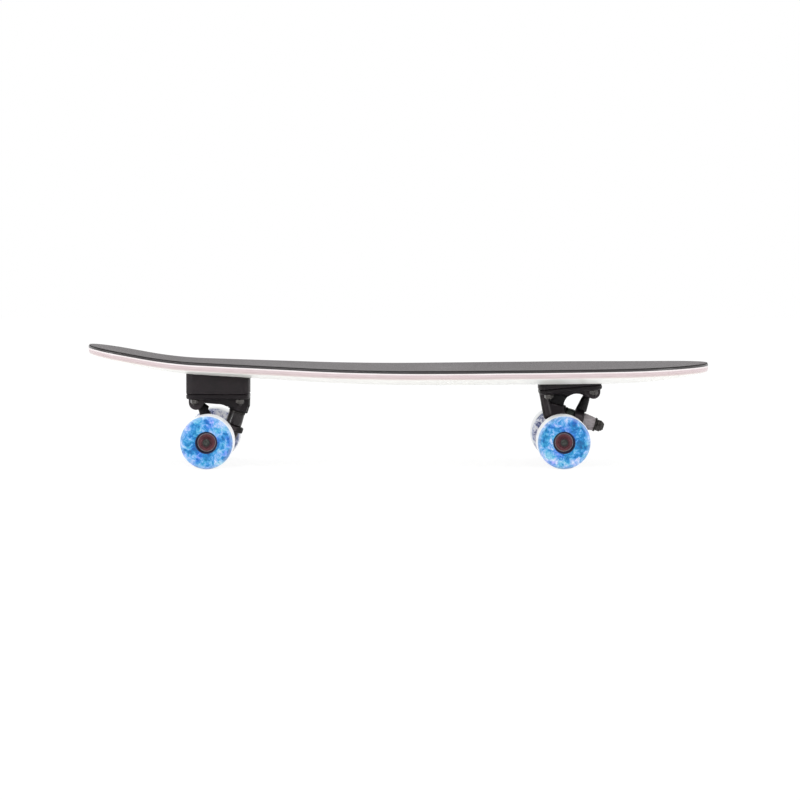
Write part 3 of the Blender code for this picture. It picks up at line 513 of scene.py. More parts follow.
def shades(tree, level, stops, crisp=False):
    """Colours along a level: stops are (level, colour)."""
    ramp = tree.nodes.new("ShaderNodeValToRGB")
    ramp.color_ramp.interpolation = "CONSTANT" if crisp else "LINEAR"
    band = ramp.color_ramp.elements
    while len(band) < len(stops):
        band.new(1.0)
    for element, (position, colour) in zip(band, stops):
        element.position = position
        element.color = colour
    tree.links.new(level, ramp.inputs["Fac"])
    return ramp.outputs["Color"]


def spread(tree, level, low, high, start=0.0, end=1.0):
    """Moves a level from the range start to end onto the range low to high."""
    scale = tree.nodes.new("ShaderNodeMapRange")
    scale.inputs["From Min"].default_value = start
    scale.inputs["From Max"].default_value = end
    scale.inputs["To Min"].default_value = low
    scale.inputs["To Max"].default_value = high
    tree.links.new(level, scale.inputs["Value"])
    return scale.outputs["Result"]


def blend(tree, share, first, second, mode="MIX"):
    """Mixes two colours. A share that isn't a socket is a plain number."""
    mix = tree.nodes.new("ShaderNodeMix")
    mix.data_type = "RGBA"
    mix.blend_type = mode
    for source, socket in ((share, mix.inputs[0]), (first, mix.inputs[6]), (second, mix.inputs[7])):
        if isinstance(source, bpy.types.NodeSocket):
            tree.links.new(source, socket)
        else:
            socket.default_value = source
    return mix.outputs[2]


def relief(tree, shader, height, depth):
    """Fine relief of this depth in metres."""
    bump = tree.nodes.new("ShaderNodeBump")
    bump.inputs["Distance"].default_value = depth
    bump.inputs["Strength"].default_value = 1.0
    tree.links.new(height, bump.inputs["Height"])
    tree.links.new(bump.outputs["Normal"], shader.inputs["Normal"])


def use(tree, level, shader, socket):
    tree.links.new(level, shader.inputs[socket])


def apart(tree, place):
    """The x, y and z of a place, each on its own."""
    split = tree.nodes.new("ShaderNodeSeparateXYZ")
    tree.links.new(place, split.inputs["Vector"])
    return split.outputs


def over_deck(tree):
    """Height over the deck's top, as kept in the map "ply"."""
    ply_map = tree.nodes.new("ShaderNodeUVMap")
    ply_map.uv_map = "ply"
    return apart(tree, ply_map.outputs["UV"])["Y"]


PLY_WAVER = 0.0003
# Colours down the rim, from top to foot. The black is dye and the pinks are the maple. The near
# white just below the black is a painted highlight. The paint that lightens to white towards the
# foot is painted light from below.
PLY_SHADES_WITH_PAINTED_LIGHT = (
    (0.0, paint(44, 40, 42)),
    (0.26, paint(243, 237, 237)),
    (0.38, paint(224, 210, 212)),
    (0.46, paint(208, 190, 193)),
    (0.58, paint(213, 196, 198)),
    (0.68, paint(206, 188, 190)),
    (0.80, paint(213, 197, 196)),
    (0.88, paint(223, 210, 208)),
    (0.93, paint(237, 229, 226)),
    (0.965, paint(255, 255, 250)),
)
PORE_SHARE = 0.40
PORE_RELIEF = 0.00006

maple, tree, shader = new_finish("maple_plies", {"Coat Weight": 0.35, "Coat Roughness": 0.18})
waver = spread(tree, mottle(tree, on_piece(tree), 9.0, 2.0), -PLY_WAVER, PLY_WAVER)
wavy = worked(tree, "ADD", over_deck(tree), waver)[0]
depth = spread(tree, wavy, 1.0, 0.0, -DECK_THICKNESS, 0.0)
plies = shades(tree, depth, PLY_SHADES_WITH_PAINTED_LIGHT, crisp=True)
grain = mottle(tree, on_piece(tree, (0.06, 1.0, 1.0)), 420.0, 4.0, 0.6)
pores = shades(tree, grain, ((0.30, paint(228, 222, 220)), (0.62, paint(255, 255, 255))))
use(tree, blend(tree, PORE_SHARE, plies, pores, "MULTIPLY"), shader, "Base Color")
use(tree, spread(tree, grain, 0.42, 0.30), shader, "Roughness")
relief(tree, shader, grain, PORE_RELIEF)


def edge_round(radius, start, end, inset, height, steps):
    """Rim points around a quarter round, angles in degrees from flat to upright."""
    points = []
    for k in range(steps + 1):
        angle = math.radians(start + (end - start) * k / steps)
        points.append((inset - radius * math.sin(angle), height + radius * math.cos(angle)))
    return points


TOP_EDGE_STEPS = 4
SIDE_STEPS = 5
BOTTOM_EDGE_STEPS = 7
side_height = DECK_THICKNESS - TOP_EDGE - BOTTOM_EDGE
deck_rim = edge_round(TOP_EDGE, 0, 90, TOP_EDGE, -TOP_EDGE, TOP_EDGE_STEPS)
deck_rim += [(0.0, -TOP_EDGE - side_height * k / SIDE_STEPS) for k in range(1, SIDE_STEPS)]
foot_edge = BOTTOM_EDGE - DECK_THICKNESS
deck_rim += edge_round(BOTTOM_EDGE, 90, 180, BOTTOM_EDGE, foot_edge, BOTTOM_EDGE_STEPS)
deck = keep("cruiser_deck", board(deck_rim), maple)
cut(deck, bolt_cutters())
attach(deck, "deck")
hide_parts("deck")


# The grip tape
# One sheet of dark abrasive cloth stuck over the whole top and trimmed with a blade along the
# rim, which leaves a dark cut edge. Its top is painted grey as a painted sheen of the dark grit
# seen at a grazing angle. It is pierced for the bolt heads.

GRIP_EDGE_SHADE = paint(52, 49, 50)
GRIP_EDGE_HEIGHT = 0.0008
GRIP_BEVEL = 0.0003
GRIT_DEPTH = 0.00035
# The grey of the grit is a painted sheen. The cloth itself is dark, as its cut edge shows.
GRIT_PAINTED_SHEEN_SHADES = (
    (0.30, paint(84, 81, 83)),
    (0.48, paint(121, 118, 119)),
    (0.62, paint(139, 136, 137)),
    (0.75, paint(164, 161, 162)),
)

grit, tree, shader = new_finish("grey_grit", {"Specular IOR Level": 0.35})
fine = mottle(tree, on_piece(tree), 2600.0, 2.0, 0.7)
broad = mottle(tree, on_piece(tree), 14.0, 3.0, 0.5)
clouds = shades(tree, broad, ((0.3, paint(238, 238, 238)), (0.7, paint(255, 255, 255))))
painted_sheen_top = blend(tree, 1.0, shades(tree, fine, GRIT_PAINTED_SHEEN_SHADES), clouds, "MULTIPLY")
on_top = spread(
    tree, over_deck(tree), 0.0, 1.0, SEAT_GAP + GRIP_EDGE_HEIGHT, SEAT_GAP + GRIP_THICKNESS
)
use(tree, blend(tree, on_top, GRIP_EDGE_SHADE, painted_sheen_top), shader, "Base Color")
use(tree, spread(tree, fine, 0.75, 1.0), shader, "Roughness")
relief(tree, shader, fine, GRIT_DEPTH)

grip_over = SEAT_GAP + GRIP_THICKNESS
grip_rim = [
    (TOP_EDGE + GRIP_BEVEL, grip_over), (TOP_EDGE, grip_over - GRIP_BEVEL), (TOP_EDGE, SEAT_GAP),
]
grip = keep("grip_sheet", board(grip_rim), grit)
cut(grip, bolt_cutters())
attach(grip, "deck")
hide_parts("grip_tape")


# The risers
# Moulded black rubber blocks between deck and trucks: a wedge that tips the front truck forward
# and a tall pad at the rear. Both have the baseplate's outline and are pinched by its bolts.

PLATE_LENGTH = 0.0752
PLATE_WIDTH = 0.056
PLATE_CORNER = 0.010
PLATE_CORNER_STEPS = 10
RISER_EDGE = 0.0008
RISER_EDGE_MIDDLE = RISER_EDGE * 0.3
RUBBER_SKIN = 0.00004


def arc(centre, radii, start, end, steps):
    """Points along part of an ellipse, angles in degrees."""
    angles = [math.radians(start + (end - start) * k / steps) for k in range(steps + 1)]
    return [(centre[0] + radii[0] * math.cos(a), centre[1] + radii[1] * math.sin(a)) for a in angles]


def plate_outline(inset):
    """The rounded rectangle that the baseplates and the risers share."""
    across = PLATE_LENGTH / 2 - PLATE_CORNER
    along = PLATE_WIDTH / 2 - PLATE_CORNER
    radius = PLATE_CORNER - inset
    points = []
    for quarter, (side_x, side_y) in enumerate(((1, 1), (-1, 1), (-1, -1), (1, -1))):
        centre = (side_x * across, side_y * along)
        start = 90 * quarter
        points += arc(centre, (radius, radius), start, start + 90, PLATE_CORNER_STEPS)
    return points


def stack_rings(rings):
    """A closed shape of rings of points, one on the next, with a lid at each end."""
    shape = bmesh.new()
    loops = [[shape.verts.new(place) for place in ring] for ring in rings]
    for here, ahead in zip(loops, loops[1:]):
        join(shape, here, ahead)
    shape.faces.new(loops[0])
    shape.faces.new(list(reversed(loops[-1])))
    return shape


def underside(x):
    return deck_top(x, 0.0) - DECK_THICKNESS


def tone(tree, shader, marks, dark, light, dullness, band=(0.3, 0.7), span=(0.0, 1.0)):
    """Takes a finish from dark to light and from glossy to dull along one cloudy noise.

    The colours change within the band of the noise, the dullness within the span.
    """
    colours = shades(tree, marks, ((band[0], dark), (band[1], light)))
    use(tree, colours, shader, "Base Color")
    use(tree, spread(tree, marks, *dullness, *span), shader, "Roughness")


rubber, tree, shader = new_finish("riser_rubber", {"Specular IOR Level": 0.30})
scuffs = mottle(tree, on_piece(tree), 70.0, 5.0, 0.6)
tone(
    tree, shader, scuffs, paint(27, 22, 25), paint(39, 33, 36), (0.52, 0.72),
    band=(0.35, 0.65), span=(0.3, 0.7),
)
relief(tree, shader, mottle(tree, on_piece(tree), 1500.0, 2.0), RUBBER_SKIN)

for name, node, plate in (
    ("front_wedge_pad", "front_wedge_riser", FRONT_PLATE),
    ("rear_tall_pad", "rear_riser", REAR_PLATE),
):
    x, height, slope = plate
    half = PLATE_LENGTH / 2
    top_slope = (underside(x + half) - underside(x - half)) / PLATE_LENGTH
    shares = (-1.0, -0.5, 0.0, 0.5, 1.0)
    bow = min(underside(x + half * s) - underside(x) - top_slope * half * s for s in shares)
    low_rings = []
    high_rings = []
    edge = ((RISER_EDGE, 0.0), (RISER_EDGE_MIDDLE, RISER_EDGE_MIDDLE), (0.0, RISER_EDGE))
    for inset, lift in edge:
        ring = plate_outline(inset)
        top = underside(x) + bow - SEAT_GAP - lift
        low_rings.append([(x + u, v, height + slope * u + SEAT_GAP + lift) for u, v in ring])
        high_rings.append([(x + u, v, top + top_slope * u) for u, v in ring])
    pad = keep(name, stack_rings(low_rings + high_rings[::-1]), rubber)
    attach(pad, "deck")
    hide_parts(node)


# The baseplates
# Cast aluminium, painted satin black. Each has the mounting plate, a web that carries the boss for
# the kingpin, and a housing for the pivot cup. Holes, the cup's pocket and nut seats are machined.

# Ring, pivot and lobe are places, (ahead, up) from the axle. A bushing is its length and its radii
# at ring and washer, and the arm's radii are those at the nose and at its far end.
Truck = namedtuple(
    "Truck",
    "name axle_x plate plate_thickness ring pivot lobe lobe_radius kingpin_lean ring_radius"
    " ring_thickness ring_hole board_bushing road_bushing boss_depth boss_radius arm_start"
    " arm_radii steer_limit",
)
FRONT_TRUCK = Truck(
    name="front",
    axle_x=0.1938,
    plate=FRONT_PLATE,
    plate_thickness=0.0055,
    ring=(0.0214, 0.0212),
    pivot=(0.0334, 0.0520),
    lobe=(0.0400, 0.0545),
    lobe_radius=0.0082,
    kingpin_lean=math.radians(-73.5),
    ring_radius=0.0138,
    ring_thickness=0.0110,
    ring_hole=0.0078,
    board_bushing=(0.0100, 0.0100, 0.0100),
    road_bushing=(0.0160, 0.0098, 0.0078),
    boss_depth=0.0150,
    boss_radius=0.0120,
    arm_start=0.0060,
    arm_radii=(0.0050, 0.0068),
    steer_limit=math.radians(20.0),
)
REAR_TRUCK = Truck(
    name="rear",
    axle_x=-0.2249,
    plate=REAR_PLATE,
    plate_thickness=0.0058,
    ring=(0.0249, 0.0112),
    pivot=(-0.0179, 0.0424),
    lobe=(-0.0176, 0.0420),
    lobe_radius=0.0089,
    kingpin_lean=math.radians(18.0),
    ring_radius=0.0135,
    ring_thickness=0.0072,
    ring_hole=0.0064,
    board_bushing=(0.0160, 0.0098, 0.0094),
    road_bushing=(0.0085, 0.0094, 0.0080),
    boss_depth=0.0092,
    boss_radius=0.0122,
    arm_start=0.0066,
    arm_radii=(0.0048, 0.0100),
    steer_limit=math.radians(15.0),
)
TRUCKS = (FRONT_TRUCK, REAR_TRUCK)
WEB_WIDTH = 0.024
WEB_INSET = 0.0008
KINGPIN_RADIUS = 0.0046
KINGPIN_HEAD_RADIUS = 0.0080
KINGPIN_HEAD_HEIGHT = 0.0055
CUP_WASHER = 0.0012
PIVOT_NOSE_RADIUS = 0.0046
CUP_BORE = PIVOT_NOSE_RADIUS + SEAT_GAP
CUP_WALL = 0.0021
CUP_FLOOR = 0.0013
CUP_DEPTH = 0.0025
CAST_GRAIN = 0.00055
CAST_ROUNDS = 6
TURNED_STEPS = 56


def from_axle(truck, offset):
    """World place of an (ahead, up) offset from the axle."""
    return Vector((truck.axle_x + offset[0], 0.0, AXLE_HEIGHT + offset[1]))


def on_kingpin(truck, along, across=0.0):
    """World (x, z) of a point along the kingpin from the ring, towards the board."""
    centre = from_axle(truck, truck.ring)
    lean = truck.kingpin_lean
    return (
        centre.x + along * math.sin(lean) + across * math.cos(lean),
        centre.z + along * math.cos(lean) - across * math.sin(lean),
    )


def pin_point(truck, along):
    """World place of a point on the kingpin's axis."""
    x, z = on_kingpin(truck, along)
    return Vector((x, 0.0, z))


BoardStack = namedtuple("BoardStack", "bushing washer boss head")


def board_stack(truck):
    """Distances from the ring's middle up to the start of each of these."""
    bushing = truck.ring_thickness / 2 + SEAT_GAP
    washer = bushing + truck.board_bushing[0] + SEAT_GAP
    boss = washer + CUP_WASHER + SEAT_GAP
    return BoardStack(bushing, washer, boss, head=boss + truck.boss_depth + SEAT_GAP)


def steer_axis(truck):
    """Unit vector from the pivot to the middle of the hanger's ring."""
    return (from_axle(truck, truck.ring) - from_axle(truck, truck.pivot)).normalized()


def lean_of(direction):
    """Lean about Y that turns +Z onto a direction in the XZ plane."""
    return math.atan2(direction.x, direction.z)


def placed(shape, position, lean=0.0, about="Y"):
    """Moves a shape's own points into the world."""
    turned = Matrix.Rotation(lean, 4, about)
    shape.transform(Matrix.Translation(position) @ turned)
    return shape


def on_pin(truck, shape, along=0.0):
    """Stands a shape on the kingpin, this far from the ring's middle."""
    return placed(shape, pin_point(truck, along), truck.kingpin_lean)


def slab(outline, depth, side=0.0):
    """An outline in XZ made solid along Y."""
    low = [(x, side - depth / 2, z) for x, z in outline]
    high = [(x, side + depth / 2, z) for x, z in outline]
    return stack_rings([low, high])


def rod(start, end, start_radius, end_radius=None, steps=28):
    """A straight round bar between two points, tapered if asked."""
    run = Vector(end) - Vector(start)
    last = start_radius if end_radius is None else end_radius
    shape = turn([(0.0, 0.0), (start_radius, 0.0), (last, run.length), (0.0, run.length)], steps)
    shape.transform(Matrix.Translation(start) @ run.to_track_quat("Z", "Y").to_matrix().to_4x4())
    return shape


def ease(piece, rounds):
    """Smooths a piece's surface this many times."""
    step = piece.modifiers.new("ease", "SMOOTH")
    step.factor = 0.5
    step.iterations = rounds
    settle(piece)


def pour(piece, grain, rounds):
    """Makes one even skin around all of a piece's shapes and smooths it."""
    skin = piece.modifiers.new("skin", "REMESH")
    skin.mode = "VOXEL"
    skin.voxel_size = grain
    skin.use_smooth_shade = True
    ease(piece, rounds)


def cast(name, shapes, finish):
    """Runs shapes together into one casting whose inner and outer corners are rounded."""
    whole = bmesh.new()
    for shape in shapes:
        bmesh.ops.recalc_face_normals(shape, faces=shape.faces[:])
        part = bpy.data.meshes.new("part")
        shape.to_mesh(part)
        shape.free()
        whole.from_mesh(part)
        bpy.data.meshes.remove(part)
    mesh = bpy.data.meshes.new(name)
    whole.to_mesh(mesh)
    whole.free()
    mesh.materials.append(finish)
    piece = bpy.data.objects.new(name, mesh)
    bpy.context.scene.collection.objects.link(piece)
    pour(piece, CAST_GRAIN, CAST_ROUNDS)
    return piece


def cutter(shape):
    return keep("cutter", shape)


# The black is painted by distance from the truck's middle plane. Near the middle, where the web's
# pockets lie, it has painted shade. About 12 to 14 mm out, on the ends of the pivot housing and on
# the leg's columns, it has painted highlights. Beyond that it is a plain black.
PAINTED_LIGHT_REACH = 0.030
PAINTED_SHADE_AND_HIGHLIGHT_STOPS = (
    (0.22, paint(14, 11, 13)),
    (0.36, paint(18, 15, 17)),
    (0.40, paint(36, 31, 34)),
    (0.416, paint(64, 58, 60)),
    (0.455, paint(60, 54, 57)),
    (0.52, paint(38, 33, 36)),
    (1.0, paint(32, 27, 30)),
)
PIT_DEPTH = 0.00006

black_cast, tree, shader = new_finish(
    "black_casting", {"Specular IOR Level": 0.16, "Coat Weight": 0.05, "Coat Roughness": 0.25}
)
pits = mottle(tree, on_piece(tree), 900.0, 3.0, 0.6)
worn = mottle(tree, on_piece(tree), 55.0, 5.0, 0.62)
from_middle = worked(tree, "ABSOLUTE", apart(tree, on_piece(tree))["Y"])[0]
painted_shade_and_highlight = shades(tree, spread(tree, from_middle, 0.0, 1.0, 0.0, PAINTED_LIGHT_REACH), PAINTED_SHADE_AND_HIGHLIGHT_STOPS)
patchy = shades(tree, worn, ((0.32, paint(216, 214, 216)), (0.70, paint(255, 255, 255))))
use(tree, blend(tree, 1.0, painted_shade_and_highlight, patchy, "MULTIPLY"), shader, "Base Color")
use(tree, spread(tree, worn, 0.36, 0.56, 0.3, 0.7), shader, "Roughness")
relief(tree, shader, pits, PIT_DEPTH)

WEB_IN_BOSS = 0.0022
WEB_OVER_HEAD = 0.0060
FRONT_ARCH = (0.0080, -0.0226)
FRONT_ARCH_RADII = (0.0155, 0.0146)
FRONT_ARCH_SPAN = (180, 50)
FRONT_ARCH_STEPS = 14
REAR_ARCH = (-0.0004, -0.0188)
REAR_ARCH_RADII = (0.0125, 0.0065)
REAR_ARCH_SPAN = (95, 35)
REAR_ARCH_STEPS = 10


def front_web_outline(truck):
    """Side outline of the front web: tall leg at the back, arch, pivot housing."""
    x, height, slope = truck.plate
    stack = board_stack(truck)
    face = stack.boss + WEB_IN_BOSS
    lobe = from_axle(truck, truck.lobe)
    radius = truck.lobe_radius
    boss = truck.boss_radius
    back = x - PLATE_LENGTH / 2 + WEB_INSET
    front = min(lobe.x + radius, x + PLATE_LENGTH / 2 - WEB_INSET)
    in_plate = height - truck.plate_thickness / 2
    arch = (x + FRONT_ARCH[0], height + FRONT_ARCH[1])
    return [
        (back, in_plate + slope * (back - x)),
        on_kingpin(truck, stack.head + WEB_OVER_HEAD, -boss * 0.85),
        on_kingpin(truck, face, -boss * 0.90),
        on_kingpin(truck, face, boss * 0.60),
        *arc(arch, FRONT_ARCH_RADII, *FRONT_ARCH_SPAN, FRONT_ARCH_STEPS),
        (lobe.x - radius * 0.5, lobe.z - radius * 0.6),
        (lobe.x + radius * 0.5, lobe.z - radius * 0.6),
        (front, lobe.z),
        (front, in_plate + slope * (front - x)),
    ]


def rear_web_outline(truck):
    """Side outline of the rear web: pivot housing at the back, low arch, boss."""
    x, height, _ = truck.plate
    face = board_stack(truck).boss + WEB_IN_BOSS
    lobe = from_axle(truck, truck.lobe)
    radius = truck.lobe_radius
    boss = truck.boss_radius
    in_plate = height - truck.plate_thickness / 2
    front = x + PLATE_LENGTH / 2 - WEB_INSET
    arch = (x + REAR_ARCH[0], height + REAR_ARCH[1])
    return [
        (lobe.x - radius, in_plate),
        (lobe.x - radius, lobe.z),
        (lobe.x - radius * 0.4, lobe.z - radius * 0.4),
        (lobe.x + radius * 0.4, lobe.z),
        *arc(arch, REAR_ARCH_RADII, *REAR_ARCH_SPAN, REAR_ARCH_STEPS),
        on_kingpin(truck, face, -boss * 0.85),
        on_kingpin(truck, face, boss * 0.85),
        (front, height - truck.plate_thickness * 2),
        (front, in_plate),
    ]


CUP_PROUD = 0.0005
ARM_ROOM_DEPTH = 0.0075
NOSE_ROOM_RADIUS = 0.0062
NOSE_ROOM_DEPTH = 0.0160
NUT_SEAT_RADIUS = 0.0070
NUT_SEAT_HEIGHT = 0.0080
NUT_SEAT_CUT = 0.0001


def machining(truck, head_room):
    """Cutters for the kingpin's hole, the cup's pocket, the bolt holes and the nut seats.

    The head room is how far the wide part of the kingpin's hole goes on from the head's seat.
    """
    stack = board_stack(truck)
    head_hole = KINGPIN_HEAD_RADIUS + HOLE_GAP
    shank_hole = KINGPIN_RADIUS + HOLE_GAP
    pin_hole = [
        (0.0, stack.head + head_room),
        (head_hole, stack.head + head_room),
        (head_hole, stack.head - SEAT_GAP),
        (shank_hole, stack.head - SEAT_GAP),
        (shank_hole, stack.boss - truck.boss_radius),
        (0.0, stack.boss - truck.boss_radius),
    ]
    pocket = CUP_BORE + CUP_WALL + SEAT_GAP
    bottom = -(CUP_BORE + CUP_FLOOR + SEAT_GAP)
    mouth = CUP_DEPTH - CUP_PROUD
    pocket_cut = [
        (0.0, bottom),
        (pocket, bottom),
        (pocket, mouth),
        (truck.lobe_radius, mouth),
        (truck.lobe_radius, mouth + ARM_ROOM_DEPTH),
        (NOSE_ROOM_RADIUS, mouth + ARM_ROOM_DEPTH),
        (NOSE_ROOM_RADIUS, mouth + NOSE_ROOM_DEPTH),
        (0.0, mouth + NOSE_ROOM_DEPTH),
    ]
    pivot = from_axle(truck, truck.pivot)
    tools = [
        cutter(on_pin(truck, turn(pin_hole, TURNED_STEPS))),
        cutter(placed(turn(pocket_cut, TURNED_STEPS), pivot, lean_of(steer_axis(truck)))),
    ]
    under = -truck.plate_thickness
    for foot, _ in bolt_places(truck.plate):
        bolt_cut = [
            (0.0, HOLE_ABOVE),
            (BOLT_RADIUS + HOLE_GAP, HOLE_ABOVE),
            (BOLT_RADIUS + HOLE_GAP, under + NUT_SEAT_CUT),
            (NUT_SEAT_RADIUS, under + NUT_SEAT_CUT),
            (NUT_SEAT_RADIUS, under - NUT_SEAT_HEIGHT),
            (0.0, under - NUT_SEAT_HEIGHT),
        ]
        tools.append(cutter(placed(turn(bolt_cut, HOLE_STEPS), foot, lean_of_plate(truck.plate))))
    return tools


PLATE_TOP_EDGE = 0.0008
PLATE_UNDER_EDGE = 0.0012


def plate_shape(truck):
    """The mounting plate, its edges eased."""
    middle = Vector((truck.plate.x, 0.0, truck.plate.height))
    thick = truck.plate_thickness
    levels = (
        (PLATE_TOP_EDGE, 0.0), (0.0, PLATE_TOP_EDGE),
        (0.0, thick - PLATE_UNDER_EDGE), (PLATE_UNDER_EDGE, thick),
    )
    rings = [[(u, v, -depth) for u, v in plate_outline(inset)] for inset, depth in levels]
    return placed(stack_rings(rings), middle, lean_of_plate(truck.plate))


HOUSING_PROUD = 0.0006
HOUSING_SIDE = Vector((0.0, WEB_WIDTH / 2 + HOUSING_PROUD, 0.0))


def base_shapes(truck, outline):
    """Plate, web, kingpin boss and pivot housing."""
    stack = board_stack(truck)
    radius = truck.boss_radius
    boss = [(0.0, stack.head), (radius, stack.head), (radius, stack.boss), (0.0, stack.boss)]
    lobe = from_axle(truck, truck.lobe)
    return [
        plate_shape(truck),
        slab(outline, WEB_WIDTH),
        on_pin(truck, turn(boss, TURNED_STEPS)),
        rod(lobe - HOUSING_SIDE, lobe + HOUSING_SIDE, truck.lobe_radius, steps=TURNED_STEPS),
    ]


LEG_COLUMN = ((-0.0200, 0.0530), (-0.0136, 0.0270))
LEG_COLUMN_RADIUS = 0.0042
LEG_COLUMN_SIDE = 0.0095
LEG_POCKET = (
    (-0.0124, 0.0418), (-0.0132, 0.0450), (-0.0150, 0.0495), (-0.0110, 0.0512), (0.0030, 0.0512),
    (0.0098, 0.0490), (0.0066, 0.0440), (0.0060, 0.0405), (0.0095, 0.0358),
)
POCKET_FLOOR = 0.0062
POCKET_CUT = 0.008
POCKET_ROUNDS = 4
LEG_HEAD_ROOM = 0.043
HOUSING_BACK = (0.0366, 0.0552)
HOUSING_BACK_RADIUS = 0.0072
BOSS_EAR = ((0.0360, 0.0480), (0.0466, 0.0480), (0.0462, 0.0366), (0.0400, 0.0340))
BOSS_EAR_WIDTH = 0.018
WELL_HEIGHT = 0.020


def side_outline(truck, offsets):
    """An outline in XZ whose points are given from the axle."""
    return [(truck.axle_x + u, AXLE_HEIGHT + v) for u, v in offsets]


shapes = base_shapes(FRONT_TRUCK, front_web_outline(FRONT_TRUCK))
housing_back = from_axle(FRONT_TRUCK, HOUSING_BACK)
shapes.append(rod(housing_back - HOUSING_SIDE, housing_back + HOUSING_SIDE, HOUSING_BACK_RADIUS))
pockets = []
for way in (-1, 1):
    top, foot = [from_axle(FRONT_TRUCK, end) for end in LEG_COLUMN]
    top.y = foot.y = way * LEG_COLUMN_SIDE
    shapes.append(rod(top, foot, LEG_COLUMN_RADIUS))
    outline = side_outline(FRONT_TRUCK, LEG_POCKET)
    pockets.append(cutter(slab(outline, POCKET_CUT, way * (POCKET_FLOOR + POCKET_CUT / 2))))
front_base = cast("front_truck_base", shapes, black_cast)
cut(front_base, pockets)
pour(front_base, CAST_GRAIN, POCKET_ROUNDS)
cut(front_base, machining(FRONT_TRUCK, LEG_HEAD_ROOM))

shapes = base_shapes(REAR_TRUCK, rear_web_outline(REAR_TRUCK))
shapes.append(slab(side_outline(REAR_TRUCK, BOSS_EAR), BOSS_EAR_WIDTH))
rear_base = cast("rear_truck_base", shapes, black_cast)
tools = machining(REAR_TRUCK, KINGPIN_HEAD_HEIGHT + SEAT_GAP)
well = [
    (0.0, 0.0), (KINGPIN_HEAD_RADIUS, 0.0), (KINGPIN_HEAD_RADIUS, WELL_HEIGHT), (0.0, WELL_HEIGHT),
]
in_head = pin_point(REAR_TRUCK, board_stack(REAR_TRUCK).head + KINGPIN_HEAD_HEIGHT / 2)
tools.append(cutter(placed(turn(well, TURNED_STEPS), in_head)))
cut(rear_base, tools)

for truck, base in zip(TRUCKS, (front_base, rear_base)):
    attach(base, "deck")
    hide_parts(f"{truck.name}_baseplate")


# The pivot cups
# Hard black plastic cups pressed into the baseplates' housings. The hanger's nose turns in them.
# Next to nothing of them shows, so the model's own cups stay.

cup_plastic, tree, shader = new_finish("cup_plastic", {"Specular IOR Level": 0.5})
scuffs = mottle(tree, on_piece(tree), 400.0, 4.0)
tone(tree, shader, scuffs, paint(30, 30, 31), paint(52, 51, 52), (0.4, 0.6))


def refinish(node, finish):
    """Gives a piece of the model this finish in place of its plain one."""
    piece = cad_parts[node]
    for slot in piece.material_slots:
        slot.link = "OBJECT"
        slot.material = finish


for truck in TRUCKS:
    refinish(f"{truck.name}_pivot_cup", cup_plastic)


# The hangers
# Cast like the baseplates and painted the same black. The beam carries the axle, the ring sits
# between the bushings, and an arm reaches up to the nose that turns in the pivot cup.

HANGER_LENGTH = 0.144
HANGER_RADIUS = 0.0092
HANGER_END_RADIUS = 0.0078
HANGER_END_LENGTH = 0.020
HANGER_TAPER = 0.014
HANGER_WEB_WIDTH = 0.018
HANGER_EDGE = 0.0008
BEAM_STEPS = 48
RING_STEPS = 64
NOSE_LENGTH = 0.016
GUSSET_SIDE = 0.020
GUSSET_RADIUS = 0.0072
GUSSET_RING_SHARE = 0.86
GUSSET_DEPTH_SHARE = 0.55
GUSSET_STEPS = 24
AXLE_RADIUS = 0.004


def hull(points):
    """The tightest closed shape around points."""
    shape = bmesh.new()
    for point in points:
        shape.verts.new(point)
    found = bmesh.ops.convex_hull(shape, input=shape.verts[:])
    inside = [v for v in found["geom_interior"] if isinstance(v, bmesh.types.BMVert)]
    bmesh.ops.delete(shape, geom=inside, context="VERTS")
    return shape


def gusset(truck):
    """The swelling that runs from the middle of the beam to the ring."""
    axle = from_axle(truck, (0.0, 0.0))
    ring_reach = truck.ring_radius * GUSSET_RING_SHARE
    depth = truck.ring_thickness / 2 * GUSSET_DEPTH_SHARE
    corners = []
    for k in range(GUSSET_STEPS):
        angle = math.tau * k / GUSSET_STEPS
        around = Vector((math.cos(angle), 0.0, math.sin(angle))) * GUSSET_RADIUS
        corners += [axle + around + Vector((0.0, way * GUSSET_SIDE, 0.0)) for way in (-1, 1)]
        for along in (-depth, depth):
            x, z = on_kingpin(truck, along, ring_reach * math.cos(angle))
            corners.append(Vector((x, ring_reach * math.sin(angle), z)))
    return hull(corners)


def hanger_shapes(truck, web, arm_end):
    """Beam, ring, web, arm, nose and gusset."""
    end = HANGER_LENGTH / 2
    waist = end - HANGER_END_LENGTH
    body = waist - HANGER_TAPER
    half_beam = [
        (0.0, end), (HANGER_END_RADIUS - HANGER_EDGE, end), (HANGER_END_RADIUS, end - HANGER_EDGE),
        (HANGER_END_RADIUS, waist), (HANGER_RADIUS, body),
    ]
    thick = truck.ring_thickness / 2
    half_ring = [
        (0.0, thick), (truck.ring_radius - HANGER_EDGE, thick),
        (truck.ring_radius, thick - HANGER_EDGE),
    ]
    beam, ring = [
        half + [(radius, -height) for radius, height in reversed(half)]
        for half in (half_beam, half_ring)
    ]
    pivot = from_axle(truck, truck.pivot)
    axis = steer_axis(truck)
    return [
        placed(turn(beam, BEAM_STEPS), from_axle(truck, (0.0, 0.0)), math.radians(90), "X"),
        on_pin(truck, turn(ring, RING_STEPS)),
        slab(web, HANGER_WEB_WIDTH),
        rod(pivot + axis * truck.arm_start, arm_end, *truck.arm_radii),
        rod(pivot, pivot + axis * NOSE_LENGTH, PIVOT_NOSE_RADIUS),
        gusset(truck),
    ]


